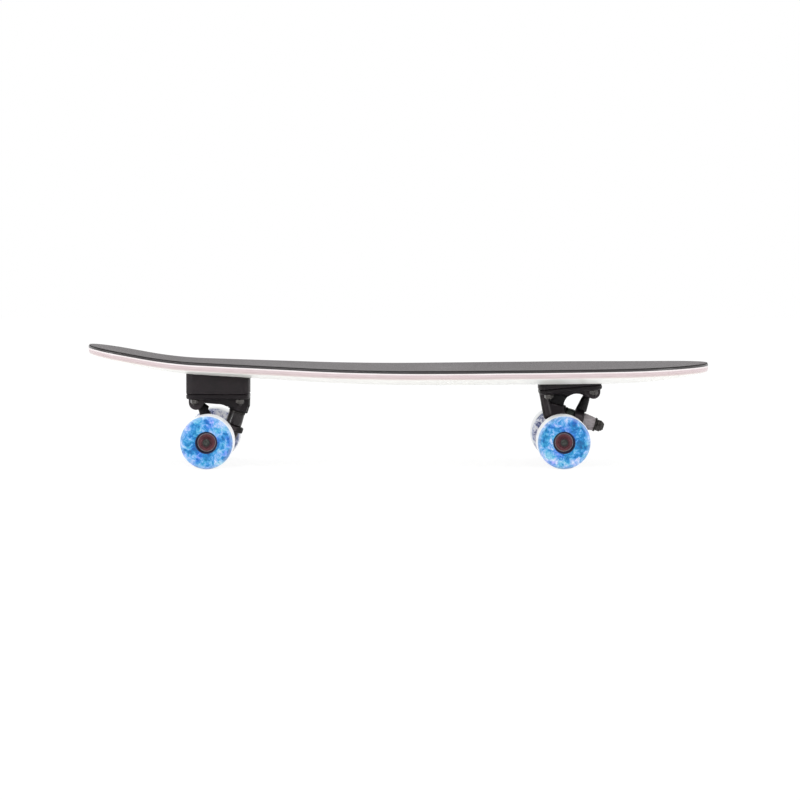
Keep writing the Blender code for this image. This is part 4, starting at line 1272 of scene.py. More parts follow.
def hanger_web(truck, beam_shares, ring_points):
    """Side outline of the web: up and over the beam, along the ring, back to the beam.

    Points on the beam are shares of its radius. Those at the ring give the face, how far inside
    it they lie, and a share of the ring's radius.
    """
    thick = truck.ring_thickness / 2
    on_beam = [
        (truck.axle_x + HANGER_RADIUS * u, AXLE_HEIGHT + HANGER_RADIUS * v) for u, v in beam_shares
    ]
    at_ring = [
        on_kingpin(truck, face * (thick - inset), -truck.ring_radius * share)
        for face, inset, share in ring_points
    ]
    return on_beam[:-1] + at_ring + on_beam[-1:]


FINE_GRAIN = 0.00045
FINE_ROUNDS = 2
LAST_ROUNDS = 4
PRESSINGS = 2
BUSHING_ROOM = 0.0009
WASHER_ROOM = 0.0012
ROOM_LENGTH = 0.014
SWING_SHARES = (0.35, 0.65, 1.0)


def stack_room(truck):
    """Room beside bushings, washers and nut, upright and with the hanger at both its limits.

    Each is (way along it, its start, its end, radius at the start, radius at the end).
    """
    thick = truck.ring_thickness / 2
    rooms = []
    for way, (length, ring_end, washer_end) in ((1, truck.board_bushing), (-1, truck.road_bushing)):
        axis = (pin_point(truck, 1.0) - pin_point(truck, 0.0)) * way
        washer = thick + length - CUP_WASHER
        far = washer + ROOM_LENGTH
        wide = washer_end + WASHER_ROOM
        rooms.append((axis, thick, far, ring_end + BUSHING_ROOM, wide))
        for share in SWING_SHARES:
            near = min(thick + length * share, washer)
            near_radius = ring_end + (washer_end - ring_end) * share + WASHER_ROOM
            for lean in (-truck.steer_limit * share, truck.steer_limit * share):
                swung = Matrix.Rotation(lean, 3, steer_axis(truck)) @ axis
                rooms.append((swung, near, far, near_radius, wide))
    return rooms


def press_back(piece, middle, rooms):
    """Moves a casting's surface out of these rooms, which all start from one middle."""
    reach = 2 * max(far for _, _, far, _, _ in rooms)
    near_by = [v for v in piece.data.vertices if (v.co - middle).length < reach]
    for vertex in near_by:
        for axis, near, far, near_radius, far_radius in rooms:
            offset = vertex.co - middle
            along = offset.dot(axis)
            if not near < along < far:
                continue
            across = offset - axis * along
            radius = near_radius + (far_radius - near_radius) * (along - near) / (far - near)
            inside = radius - across.length
            if inside <= 0.0:
                continue
            if along - near < inside:
                vertex.co -= axis * (along - near)
            else:
                vertex.co += across.normalized() * inside


def straight_cut(radius, reach, steps):
    """A round cutter on Z that reaches as far both ways."""
    return turn([(0.0, reach), (radius, reach), (radius, -reach), (0.0, -reach)], steps)


def build_hanger(truck, web, arm_end):
    """Casts a hanger, hollows it around the stack on the kingpin and bores it."""
    hanger = cast(f"{truck.name}_truck_hanger", hanger_shapes(truck, web, arm_end), black_cast)
    ring_middle = from_axle(truck, truck.ring)
    for _ in range(PRESSINGS):
        press_back(hanger, ring_middle, stack_room(truck))
        pour(hanger, FINE_GRAIN, FINE_ROUNDS)
    press_back(hanger, ring_middle, stack_room(truck))
    ease(hanger, LAST_ROUNDS)
    ring_hole = straight_cut(truck.ring_hole, truck.ring_radius, TURNED_STEPS)
    axle_hole = straight_cut(AXLE_RADIUS + SEAT_GAP, HANGER_LENGTH, HOLE_STEPS)
    axle = from_axle(truck, (0.0, 0.0))
    tools = [
        cutter(on_pin(truck, ring_hole)),
        cutter(placed(axle_hole, axle, math.radians(90), "X")),
    ]
    cut(hanger, tools)
    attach(hanger, f"{truck.name}_hanger")
    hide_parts(f"{truck.name}_hanger")


FRONT_ARM_SHARE = 0.84
FRONT_WEB_BEAM = ((-0.45, -0.65), (-0.45, 0.65), (0.55, 0.92), (0.98, -0.65))
FRONT_WEB_RING = ((1, 0.0004, 0.80), (0, 0.0, 0.60), (-1, 0.0008, 0.90))
REAR_ARM_END = (0.0030, 0.0060)
REAR_WEB_BEAM = ((-0.45, -0.60), (-0.45, 0.75), (0.45, 1.50), (0.65, -0.60))
REAR_WEB_RING = ((1, 0.0004, 0.82), (0, 0.0, 0.60), (-1, 0.0004, 0.82))

front_arm_end = from_axle(FRONT_TRUCK, FRONT_TRUCK.ring)
front_arm_end -= steer_axis(FRONT_TRUCK) * FRONT_TRUCK.ring_radius * FRONT_ARM_SHARE
build_hanger(FRONT_TRUCK, hanger_web(FRONT_TRUCK, FRONT_WEB_BEAM, FRONT_WEB_RING), front_arm_end)
rear_arm_end = from_axle(REAR_TRUCK, REAR_ARM_END)
build_hanger(REAR_TRUCK, hanger_web(REAR_TRUCK, REAR_WEB_BEAM, REAR_WEB_RING), rear_arm_end)


# The kingpins
# A steel bolt through baseplate, bushings and ring. Its round head is sunk in the baseplate, its
# threaded end shows below the nut. The steel is blackened.

KINGPIN_NUT_FLATS = 0.0132
KINGPIN_NUT_HEIGHT = 0.0075
KINGPIN_TIP = 0.0014
KINGPIN_PITCH = 0.00106
KINGPIN_CHAMFER = 0.0006
HEAD_EDGE = 0.0008
HEAD_UNDER_EDGE = 0.0002
KEY_DEPTH = 0.0030
KEY_RADIUS = 0.0028
KEY_MOUTH_RADIUS = 0.0034
THREAD_IN_NUT = 0.004
THREAD_ROWS_A_TURN = 6
THREAD_DEPTH_SHARE = 0.42

RoadStack = namedtuple("RoadStack", "bushing washer nut tip")


def road_stack(truck):
    """Distances from the ring's middle down to the start of each of these, and to the tip."""
    bushing = truck.ring_thickness / 2 + SEAT_GAP
    washer = bushing + truck.road_bushing[0] + SEAT_GAP
    nut = washer + CUP_WASHER + SEAT_GAP
    return RoadStack(bushing, washer, nut, tip=nut + KINGPIN_NUT_HEIGHT + KINGPIN_TIP)


def threaded_rod(radius, low, high, thread_low, pitch, chamfer, steps=28, drilled=0.0):
    """A rod along Z whose lower end, below thread_low, carries a helical thread.

    A lathe's centre hole of the radius drilled can be left in that end.
    """
    shape = bmesh.new()
    run = thread_low - low - chamfer
    count = max(1, round(run / pitch * THREAD_ROWS_A_TURN))
    depth = pitch * THREAD_DEPTH_SHARE

    def ring(r, z):
        return [shape.verts.new(place) for place in circle(r, z, steps)]

    rings = [ring(radius - depth - chamfer * 0.5, low)]
    for row in range(count + 1):
        z = low + chamfer + run * row / count
        run_out = min(1.0, (count - row) / THREAD_ROWS_A_TURN)
        loop = []
        for k in range(steps):
            phase = (z / pitch - k / steps) % 1.0
            groove = depth * (1.0 - abs(2.0 * phase - 1.0)) * run_out
            angle = math.tau * k / steps
            r = radius - groove
            loop.append(shape.verts.new((r * math.cos(angle), r * math.sin(angle), z)))
        rings.append(loop)
    rings.append(ring(radius, high))
    for here, ahead in zip(rings, rings[1:]):
        join(shape, here, ahead)
    end = rings[0]
    if drilled:
        mouth = ring(drilled, low)
        bottom = shape.verts.new((0.0, 0.0, low + drilled))
        join(shape, end, mouth)
        for a, b in zip(mouth, mouth[1:] + mouth[:1]):
            shape.faces.new((a, b, bottom))
    else:
        shape.faces.new(end)
    shape.faces.new(list(reversed(rings[-1])))
    return shape


STEEL_RELIEF = 0.00003


def steel(name, dark, light, roughness):
    """Bare, plated or blackened steel with fine turning marks and a slightly uneven tone."""
    finish, tree, shader = new_finish(name, {"Metallic": 1.0})
    marks = mottle(tree, on_piece(tree), 600.0, 4.0, 0.65)
    dullness = (roughness - 0.07, roughness + 0.10)
    tone(tree, shader, marks, dark, light, dullness, span=(0.3, 0.7))
    relief(tree, shader, marks, STEEL_RELIEF)
    return finish


kingpin_steel = steel("blackened_kingpin_steel", paint(58, 57, 56), paint(92, 90, 88), 0.38)
for truck in TRUCKS:
    head = board_stack(truck).head
    stack = road_stack(truck)
    thread_end = -stack.nut + THREAD_IN_NUT
    shank = threaded_rod(
        KINGPIN_RADIUS, -stack.tip, head, thread_end, KINGPIN_PITCH, KINGPIN_CHAMFER
    )
    pin = keep(f"{truck.name}_king_bolt", on_pin(truck, shank), kingpin_steel)
    top = head + KINGPIN_HEAD_HEIGHT
    head_profile = [
        (0.0, top - KEY_DEPTH),
        (KEY_RADIUS, top - KEY_DEPTH),
        (KEY_MOUTH_RADIUS, top),
        (KINGPIN_HEAD_RADIUS - HEAD_EDGE, top),
        (KINGPIN_HEAD_RADIUS, top - HEAD_EDGE),
        (KINGPIN_HEAD_RADIUS, head + HEAD_UNDER_EDGE),
        (KINGPIN_HEAD_RADIUS - HEAD_UNDER_EDGE, head),
        (0.0, head),
    ]
    shape = on_pin(truck, turn(head_profile))
    pin_head = keep(f"{truck.name}_king_bolt_head", shape, kingpin_steel)
    for piece in (pin, pin_head):
        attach(piece, "deck")
        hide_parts(f"{truck.name}_kingpin")


# The bushings
# Cast urethane cushions on the kingpin, one on each side of the hanger's ring, squeezed when the
# board leans. At the front the road side one is a grey cone and the board side one a green that is
# nearly black. The rear ones are black.

CUSHION_RELIEF = 0.00003
CUSHION_EDGE = 0.0011
CUSHION_EDGE_STEPS = 4
CUSHION_SWELL = 0.0002
CUSHION_SIDE_STEPS = 12
PIN_BORE = KINGPIN_RADIUS + HOLE_GAP
RING_BORE = PIN_BORE + 0.0020


def urethane(name, dark, light):
    """Cast urethane, faintly streaked along the kingpin and a little glossy."""
    finish, tree, shader = new_finish(
        name, {"Specular IOR Level": 0.25, "Coat Weight": 0.25, "Coat Roughness": 0.12}
    )
    streaks = mottle(tree, on_piece(tree, (1.0, 1.0, 3.0)), 190.0, 4.0, 0.6, 0.6)
    tone(tree, shader, streaks, dark, light, (0.30, 0.48))
    relief(tree, shader, mottle(tree, on_piece(tree), 900.0, 2.0), CUSHION_RELIEF)
    return finish


grey_urethane = urethane("grey_bushing_urethane", paint(132, 125, 126), paint(163, 156, 160))
black_urethane = urethane("black_bushing_urethane", paint(24, 20, 22), paint(40, 35, 37))
dark_urethane = urethane("dark_green_bushing_urethane", paint(40, 47, 42), paint(60, 66, 60))


def bushing_profile(length, ring_end, washer_end, way, start):
    """A cushion with rounded ends and a slight swell between them.

    The bore widens towards the ring, which leaves the pin room when the hanger leans.
    """
    quarter = []
    for k in range(CUSHION_EDGE_STEPS + 1):
        angle = math.radians(90 * k / CUSHION_EDGE_STEPS)
        inset = CUSHION_EDGE * (1.0 - math.sin(angle))
        quarter.append((inset, CUSHION_EDGE * (1.0 - math.cos(angle))))
    points = [(RING_BORE, start)]
    points += [(ring_end - inset, start + rise) for inset, rise in quarter]
    for k in range(1, CUSHION_SIDE_STEPS):
        share = k / CUSHION_SIDE_STEPS
        straight = ring_end + (washer_end - ring_end) * share
        bulge = CUSHION_SWELL * math.sin(math.pi * share)
        rise = CUSHION_EDGE + (length - 2 * CUSHION_EDGE) * share
        points.append((straight + bulge, start + rise))
    points += [(washer_end - inset, start + length - rise) for inset, rise in reversed(quarter)]
    points.append((PIN_BORE, start + length))
    return [(radius, way * height) for radius, height in points]


for truck, board_finish, road_finish, road_slot in (
    (FRONT_TRUCK, dark_urethane, grey_urethane, "grey_bushing"),
    (REAR_TRUCK, black_urethane, black_urethane, "black_bushing"),
):
    for side, sizes, stack, way, finish, slot in (
        ("boardside", truck.board_bushing, board_stack(truck), 1, board_finish, "black_bushing"),
        ("roadside", truck.road_bushing, road_stack(truck), -1, road_finish, road_slot),
    ):
        profile = bushing_profile(*sizes, way, stack.bushing)
        shape = on_pin(truck, turn(profile, TURNED_STEPS, closed=True))
        cushion = keep(f"{truck.name}_{side}_cushion", shape, finish)
        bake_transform(cushion)
        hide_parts(f"{truck.name}_{side}_bushing")


# The cupped washers
# Pressed steel washers whose turned-over rim holds the end of each bushing. Blackened like the
# kingpin, with rolled edges.

washer_steel = steel("blackened_washer_steel", paint(40, 39, 38), paint(66, 64, 62), 0.36)
CUP_RIM = 0.0003
CUP_LIP = 0.0012
CUP_EDGE = 0.0003
CUP_BEND = 0.0008
CUP_BEND_STEPS = 5
CUP_BORE_EDGE = 0.0001
CUP_BACK_EDGE = 0.0002

for truck in TRUCKS:
    for side, sizes, start, way in (
        ("boardside", truck.board_bushing, board_stack(truck).washer, 1),
        ("roadside", truck.road_bushing, road_stack(truck).washer, -1),
    ):
        inner = sizes[2] + SEAT_GAP
        outer = inner + CUP_RIM
        back = start + CUP_WASHER
        lip = start - CUP_LIP
        profile = [
            (PIN_BORE, start + CUP_BORE_EDGE),
            (PIN_BORE + CUP_BORE_EDGE, start),
            (inner - CUP_EDGE, start),
            (inner, start - CUP_EDGE),
            (inner, lip + CUP_EDGE),
            (inner + CUP_EDGE, lip),
            (outer - CUP_EDGE, lip),
            (outer, lip + CUP_EDGE),
            *arc((outer - CUP_BEND, back - CUP_BEND), (CUP_BEND, CUP_BEND), 0, 90, CUP_BEND_STEPS),
            (PIN_BORE + CUP_BACK_EDGE, back),
            (PIN_BORE, back - CUP_BACK_EDGE),
        ]
        shape = turn([(r, way * z) for r, z in profile], TURNED_STEPS, closed=True)
        cup = keep(f"{truck.name}_{side}_cup_washer", on_pin(truck, shape), washer_steel)
        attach(cup, "deck")
        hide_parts(f"{truck.name}_{side}_washer")


# The kingpin nuts
# Hexagon lock nuts that set how firm the bushings are. Corners are chamfered by the turning
# tool, and a ring of grey nylon in the collar grips the thread.

COLLAR_HEIGHT_SHARE = 0.26
COLLAR_WIDTH_SHARE = 0.86
NUT_FACE_SHARE = 0.97
NUT_CHAMFER_SHARE = 1.2
COLLAR_ROOT = 0.0002
COLLAR_ROLL = ((0.0006, 0.0), (0.00015, 0.0003), (0.0, 0.0008), (0.0002, 0.0011))
NYLON_DEPTH = 0.0003
NUT_STEPS = 72
NUT_SHARP = 25.0
NUT_OVERLAP = 0.0005


def lock_nut(flats, height, bore):
    """A hexagon lock nut, standing on Z with its nylon collar up. Nylon faces are marked 1."""
    shape = bmesh.new()
    apothem = flats / 2
    corner = apothem / math.cos(math.radians(30))
    between = (apothem + corner) / 2
    seat = apothem * NUT_FACE_SHARE
    chamfer = (corner - apothem) * math.tan(math.radians(30)) * NUT_CHAMFER_SHARE
    high = height / 2
    low = -height / 2
    shoulder = height * (0.5 - COLLAR_HEIGHT_SHARE)
    collar = apothem * COLLAR_WIDTH_SHARE

    def loop(z, limit):
        ring = []
        for k in range(NUT_STEPS):
            angle = math.tau * k / NUT_STEPS
            hexagon = apothem / math.cos((angle + math.pi / 6) % (math.pi / 3) - math.pi / 6)
            r = min(hexagon, limit)
            ring.append(shape.verts.new((r * math.cos(angle), r * math.sin(angle), z)))
        return ring

    rings = [
        loop(low, bore),
        loop(low, seat),
        loop(low + chamfer * 0.5, between),
        loop(low + chamfer, corner),
        loop(shoulder - chamfer, corner),
        loop(shoulder - chamfer * 0.5, between),
        loop(shoulder, seat),
        loop(shoulder + COLLAR_ROOT, collar),
        *[loop(high - down, collar - inwards) for down, inwards in COLLAR_ROLL],
        loop(high - NYLON_DEPTH, bore),
    ]
    rings.append(rings[0])
    nylon_row = len(rings) - 3
    for row, (here, ahead) in enumerate(zip(rings, rings[1:])):
        for face in join(shape, here, ahead):
            face.material_index = 1 if row == nylon_row else 0
    return shape


nylon, tree, shader = new_finish("nylon_ring", {"Specular IOR Level": 0.5})
wax = mottle(tree, on_piece(tree), 500.0, 3.0)
tone(tree, shader, wax, paint(48, 48, 50), paint(66, 66, 68), (0.35, 0.5))
nut_steel = steel("blackened_nut_steel", paint(48, 46, 46), paint(82, 79, 78), 0.30)

for truck in TRUCKS:
    shape = lock_nut(KINGPIN_NUT_FLATS, KINGPIN_NUT_HEIGHT, PIN_BORE - NUT_OVERLAP)
    shape.transform(Matrix.Rotation(math.pi, 4, "X"))
    shape = on_pin(truck, shape, -(road_stack(truck).nut + KINGPIN_NUT_HEIGHT / 2))
    nut = keep(f"{truck.name}_king_nut", shape, nut_steel, nylon, sharp=NUT_SHARP)
    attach(nut, "deck")
    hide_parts(f"{truck.name}_kingpin_nut")


# The axles
# Hardened steel rods pressed through the hangers, threaded at both ends for the axle nuts. The
# lathe's centre holes show in their ends. Each is made here as two halves that meet in the middle.

BEARING_RADIUS = 0.011
BEARING_WIDTH = 0.007
SPEED_WASHER = 0.0010
SPACER_LENGTH = 0.010
INNER_BEARING = HANGER_LENGTH / 2 + SPEED_WASHER
OUTER_BEARING = INNER_BEARING + BEARING_WIDTH + SPACER_LENGTH
NUT_PLACE = OUTER_BEARING + BEARING_WIDTH + SPEED_WASHER
AXLE_NUT_FLATS = 0.0127
AXLE_NUT_HEIGHT = 0.0065
AXLE_TIP = 0.0010
AXLE_END = NUT_PLACE + SEAT_GAP + AXLE_NUT_HEIGHT + AXLE_TIP
AXLE_PITCH = 0.00106
AXLE_CHAMFER = 0.0005
AXLE_CENTRE_HOLE = 0.0016
SIDES = (("right", -1), ("left", 1))

axle_steel = steel("oiled_axle_steel", paint(50, 52, 50), paint(84, 85, 82), 0.34)


def on_axle(truck, shape, way, distance=0.0):
    """Turns a shape that stands on Z outwards along the axle: way -1 is right, 1 is left."""
    place = Vector((truck.axle_x, way * distance, AXLE_HEIGHT))
    return placed(shape, place, math.radians(-90 * way), "X")


for truck in TRUCKS:
    for side, way in SIDES:
        shape = threaded_rod(
            AXLE_RADIUS, -AXLE_END, 0.0, -NUT_PLACE + THREAD_IN_NUT, AXLE_PITCH, AXLE_CHAMFER,
            drilled=AXLE_CENTRE_HOLE,
        )
        shape = on_axle(truck, shape, -way)
        half_axle = keep(f"{truck.name}_{side}_axle_end", shape, axle_steel)
        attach(half_axle, f"{truck.name}_hanger")
        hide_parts(f"{truck.name}_axle")


# The wheels
# Poured urethane, marbled in blues, lilac and white, 63 mm across. The lips are turned round and
# the tread is left matt. Light is painted on: the tread near white as a painted sheen, a paler
# band near the rim as a painted highlight, and a darker navy on the back face and a dark navy ring
# in the bearing's seat as painted shade.

WHEEL_RADIUS = 0.0315
WHEEL_WIDTH = 0.049
WHEEL_STEPS = 128
LIP_HEIGHT = 0.0060
LIP_DEPTH = 0.0065
LIP_SQUARENESS = 2.35
LIP_STEPS = 14
TREAD_STEPS = 5
HUB_RADIUS = BEARING_RADIUS + 0.0014
BACK_HUB_RADIUS = BEARING_RADIUS + 0.005
BACK_HUB_EDGE = 0.0006
FACE_ROUND = ((0.0, 0.0006), (0.0002, 0.0002), (0.0006, 0.0))
FACE_DISH = ((0.4, 0.0003), (0.8, 0.0002))
CORE_LIP = 0.0015
WHEEL_FACE = OUTER_BEARING + BEARING_WIDTH + 0.008
WHEEL_MIDDLE = WHEEL_FACE - WHEEL_WIDTH / 2
SEAT_RADIUS = BEARING_RADIUS + SEAT_GAP


def wheel_profile():
    """Half section of a wheel, heights measured outwards from its own middle."""
    face = WHEEL_WIDTH / 2
    inner = INNER_BEARING - WHEEL_MIDDLE
    outer = OUTER_BEARING - WHEEL_MIDDLE
    lip_middle = WHEEL_RADIUS - LIP_HEIGHT
    power = 2.0 / LIP_SQUARENESS
    outer_lip = []
    for k in range(LIP_STEPS + 1):
        angle = math.radians(90 - 90 * k / LIP_STEPS)
        r = lip_middle + LIP_HEIGHT * math.cos(angle) ** power
        outer_lip.append((r, face - LIP_DEPTH + LIP_DEPTH * math.sin(angle) ** power))
    shoulder = face - LIP_DEPTH
    tread = [
        (WHEEL_RADIUS, shoulder * (1.0 - k / TREAD_STEPS)) for k in range(1, 2 * TREAD_STEPS)
    ]
    return [
        *[(HUB_RADIUS + out, face - down) for out, down in FACE_ROUND],
        *[(HUB_RADIUS + (lip_middle - HUB_RADIUS) * out, face - down) for out, down in FACE_DISH],
        *outer_lip,
        *tread,
        *[(r, -z) for r, z in reversed(outer_lip)],
        (BACK_HUB_RADIUS + BACK_HUB_EDGE, -face),
        (BACK_HUB_RADIUS, BACK_HUB_EDGE - face),
        (BACK_HUB_RADIUS, inner),
        (SEAT_RADIUS, inner),
        (SEAT_RADIUS, inner + BEARING_WIDTH + SEAT_GAP),
        (BEARING_RADIUS - CORE_LIP, inner + BEARING_WIDTH + SEAT_GAP),
        (BEARING_RADIUS - CORE_LIP, outer - SEAT_GAP),
        (SEAT_RADIUS, outer - SEAT_GAP),
        (SEAT_RADIUS, outer + BEARING_WIDTH),
        (HUB_RADIUS, outer + BEARING_WIDTH),
    ]


OUTER_BLUES = (
    (0.34, paint(0, 70, 140)),
    (0.42, paint(0, 98, 166)),
    (0.47, paint(2, 122, 190)),
    (0.51, paint(54, 148, 212)),
    (0.55, paint(108, 172, 228)),
    (0.60, paint(170, 192, 234)),
    (0.67, paint(230, 236, 248)),
)
DYE_TINTS = (
    (0.38, paint(224, 216, 255)),
    (0.46, paint(255, 255, 255)),
    (0.54, paint(255, 255, 255)),
    (0.62, paint(198, 255, 242)),
)
# Marbling of the back face. Its lilac and white are the urethane's. Its navy, darker than the
# front's, is painted shade of the face that lies under the board.
BACK_BLUES_WITH_PAINTED_SHADE = (
    (0.36, paint(12, 26, 70)),
    (0.43, paint(36, 60, 114)),
    (0.46, paint(104, 116, 164)),
    (0.49, paint(170, 172, 204)),
    (0.53, paint(222, 224, 238)),
    (0.61, paint(248, 248, 252)),
)
# The tread is painted near white: a painted sheen of the urethane seen at a grazing angle.
TREAD_PAINTED_SHEEN = paint(255, 255, 255)
TREAD_SHEEN_SHARE = 0.92
TREAD_SHEEN_DEPTHS = (0.0011, 0.0003)
# A paler band near the rim is a painted highlight on the rounded lip.
RIM_PAINTED_HIGHLIGHT = paint(214, 226, 252)
RIM_HIGHLIGHT_SHARE = 0.24
RIM_HIGHLIGHT_DEPTHS = (0.0050, 0.0022)
# Dark navy in the bearing's seat is painted shade in the recess.
SEAT_PAINTED_SHADE = paint(24, 36, 78)
SEAT_SHADE_EDGE = (0.0016, 0.0020)
BACK_SHADE_SPAN = (-0.016, 0.004)
PALER_RADII = (0.014, 0.026)
PALER_LEVELS = (-0.015, 0.035)
WISP_SHARE = 0.72
SWIRL_REACH = 0.022
URETHANE_RELIEF = 0.00002
VECTORS = "ShaderNodeVectorMath"


def marbled(name, shift):
    """The wheels' marbled urethane. Each wheel is poured apart, so its swirls lie elsewhere."""
    finish, tree, shader = new_finish(
        name, {"Specular IOR Level": 0.38, "Coat Weight": 0.10, "Coat Roughness": 0.08}
    )
    place = on_piece(tree, shift=shift)
    swirl = tree.nodes.new("ShaderNodeTexNoise")
    swirl.inputs["Scale"].default_value = 60.0
    swirl.inputs["Detail"].default_value = 2.0
    tree.links.new(place, swirl.inputs["Vector"])
    centred = worked(tree, "SUBTRACT", swirl.outputs["Color"], (0.5, 0.5, 0.5), kind=VECTORS)[0]
    pull = worked(tree, "MULTIPLY", centred, (SWIRL_REACH,) * 3, kind=VECTORS)[0]
    drawn = worked(tree, "ADD", place, pull, kind=VECTORS)[0]
    patches = mottle(tree, place, 46.0, 1.0, 0.4)
    wisps = mottle(tree, drawn, 120.0, 6.0, 0.72)
    tints = shades(tree, mottle(tree, place, 75.0, 2.0), DYE_TINTS)
    clouds = blend(tree, WISP_SHARE, patches, wisps)

    here = on_piece(tree)
    flat = worked(tree, "MULTIPLY", here, (1.0, 1.0, 0.0), kind=VECTORS)[0]
    radius = worked(tree, "LENGTH", flat, kind=VECTORS)["Value"]

    def within(start, end, low=0.0, high=1.0):
        """A level that goes from low to high between two radii."""
        return spread(tree, radius, low, high, start, end)

    clouds = blend(tree, 1.0, clouds, within(*PALER_RADII, *PALER_LEVELS), "ADD")
    outer_blue = blend(tree, 1.0, shades(tree, clouds, OUTER_BLUES), tints, "MULTIPLY")
    back_blue_with_painted_shade = shades(tree, wisps, BACK_BLUES_WITH_PAINTED_SHADE)
    # Towards the back face the marbling turns to the one with painted shade.
    toward_shaded_back = spread(tree, apart(tree, here)["Z"], 0.0, 1.0, *BACK_SHADE_SPAN)
    body = blend(tree, toward_shaded_back, back_blue_with_painted_shade, outer_blue)
    on_highlight_rim = within(*[WHEEL_RADIUS - depth for depth in RIM_HIGHLIGHT_DEPTHS])
    on_sheen_tread = within(*[WHEEL_RADIUS - depth for depth in TREAD_SHEEN_DEPTHS])
    in_shaded_seat = within(*[SEAT_RADIUS + depth for depth in SEAT_SHADE_EDGE], 1.0, 0.0)
    # Painted highlight on the rim, painted sheen on the tread, painted shade in the bearing's seat.
    body = blend(tree, on_highlight_rim, body, blend(tree, RIM_HIGHLIGHT_SHARE, body, RIM_PAINTED_HIGHLIGHT))
    body = blend(tree, on_sheen_tread, body, blend(tree, TREAD_SHEEN_SHARE, outer_blue, TREAD_PAINTED_SHEEN))
    use(tree, blend(tree, in_shaded_seat, body, SEAT_PAINTED_SHADE), shader, "Base Color")
    use(tree, spread(tree, on_sheen_tread, 0.26, 0.42), shader, "Roughness")
    relief(tree, shader, mottle(tree, place, 700.0, 2.0), URETHANE_RELIEF)
    return finish


for truck, side, way, shift in (
    (FRONT_TRUCK, "right", -1, (0.31, 0.12, 0.05)),
    (FRONT_TRUCK, "left", 1, (0.74, 0.52, 0.21)),
    (REAR_TRUCK, "right", -1, (0.15, 0.83, 0.47)),
    (REAR_TRUCK, "left", 1, (0.05, 0.91, 0.61)),
):
    name = f"{truck.name}_{side}"
    finish = marbled(f"{name}_marbled_urethane", shift)
    wheel = keep(f"{name}_road_wheel", turn(wheel_profile(), WHEEL_STEPS, closed=True), finish)
    wheel.location = (truck.axle_x, way * WHEEL_MIDDLE, AXLE_HEIGHT)
    wheel.rotation_euler = (math.radians(-90 * way), 0.0, 0.0)
    bpy.context.view_layer.update()
    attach(wheel, f"{name}_wheel")
    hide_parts(f"{name}_wheel")


# The bearings
# Steel ball bearings pressed into both sides of each wheel, 22 mm across. A dark red shield
# closes them between the outer ring and the inner ring.

BEARING_STEPS = 72
BEARING_SHARP = 30.0
BEARING_EDGE = 0.0003
BEARING_OUTER_EDGE = 0.0004
INNER_RING_RADIUS = 0.0056
SHIELD_INNER = 0.0058
SHIELD_OUTER = 0.0097
OUTER_RING_BORE = 0.0099
SHIELD_GROOVE = 0.0004
OUTER_GROOVE = 0.0003
GROOVE_DEPTH = 0.0006
SHIELD_DEPTH = 0.0003
RING_CHAMFER = 0.0002

shield_red, tree, shader = new_finish("red_shield", {"Metallic": 0.25, "Specular IOR Level": 0.5})
film = mottle(tree, on_piece(tree), 300.0, 3.0)
tone(tree, shader, film, paint(118, 62, 70), paint(150, 84, 92), (0.34, 0.50))
ring_steel = steel("bearing_ring_steel", paint(126, 112, 118), paint(164, 150, 156), 0.30)


def bearing_shape():
    """Rings and shield, its middle at the origin. Shield faces are marked 1."""
    half = BEARING_WIDTH / 2
    bore = AXLE_RADIUS + SEAT_GAP / 2
    groove = half - GROOVE_DEPTH
    shield = half - SHIELD_DEPTH
    side = [
        (bore, half - BEARING_EDGE),
        (bore + BEARING_EDGE, half),
        (INNER_RING_RADIUS, half),
        (SHIELD_INNER, half - RING_CHAMFER),
        (SHIELD_INNER, groove),
        (SHIELD_INNER + SHIELD_GROOVE, groove),
        (SHIELD_INNER + 2 * SHIELD_GROOVE, shield),
        (SHIELD_OUTER - OUTER_GROOVE - SHIELD_GROOVE, shield),
        (SHIELD_OUTER - OUTER_GROOVE, groove),
        (SHIELD_OUTER, groove),
        (SHIELD_OUTER, half - RING_CHAMFER),
        (OUTER_RING_BORE, half),
        (BEARING_RADIUS - BEARING_OUTER_EDGE, half),
        (BEARING_RADIUS, half - BEARING_OUTER_EDGE),
    ]
    profile = side + [(r, -z) for r, z in reversed(side)]
    shape = turn(profile, BEARING_STEPS, closed=True)
    for face in shape.faces:
        middle = face.calc_center_median()
        sunk = abs(middle.z) < half - RING_CHAMFER / 2
        between = SHIELD_INNER < middle.xy.length < SHIELD_OUTER
        face.material_index = 1 if sunk and between else 0
    return shape


for truck in TRUCKS:
    for side, way in SIDES:
        for label, start in (("inner", INNER_BEARING), ("outer", OUTER_BEARING)):
            name = f"{truck.name}_{side}_{label}"
            shape = on_axle(truck, bearing_shape(), way, start + BEARING_WIDTH / 2)
            piece_name = f"{name}_ball_bearing"
            bearing = keep(piece_name, shape, ring_steel, shield_red, sharp=BEARING_SHARP)
            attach(bearing, f"{truck.name}_{side}_wheel")
            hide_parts(f"{name}_bearing")
        refinish(f"{truck.name}_{side}_spacer", axle_steel)


# The speed washers
# Thin steel rings on the axle at both sides of each wheel. They keep the bearings' inner rings
# clear of hanger and nut.

WASHER_CLEARANCE = 0.00005
WASHER_EDGE = 0.00015
WASHER_BORE = AXLE_RADIUS + 0.0002

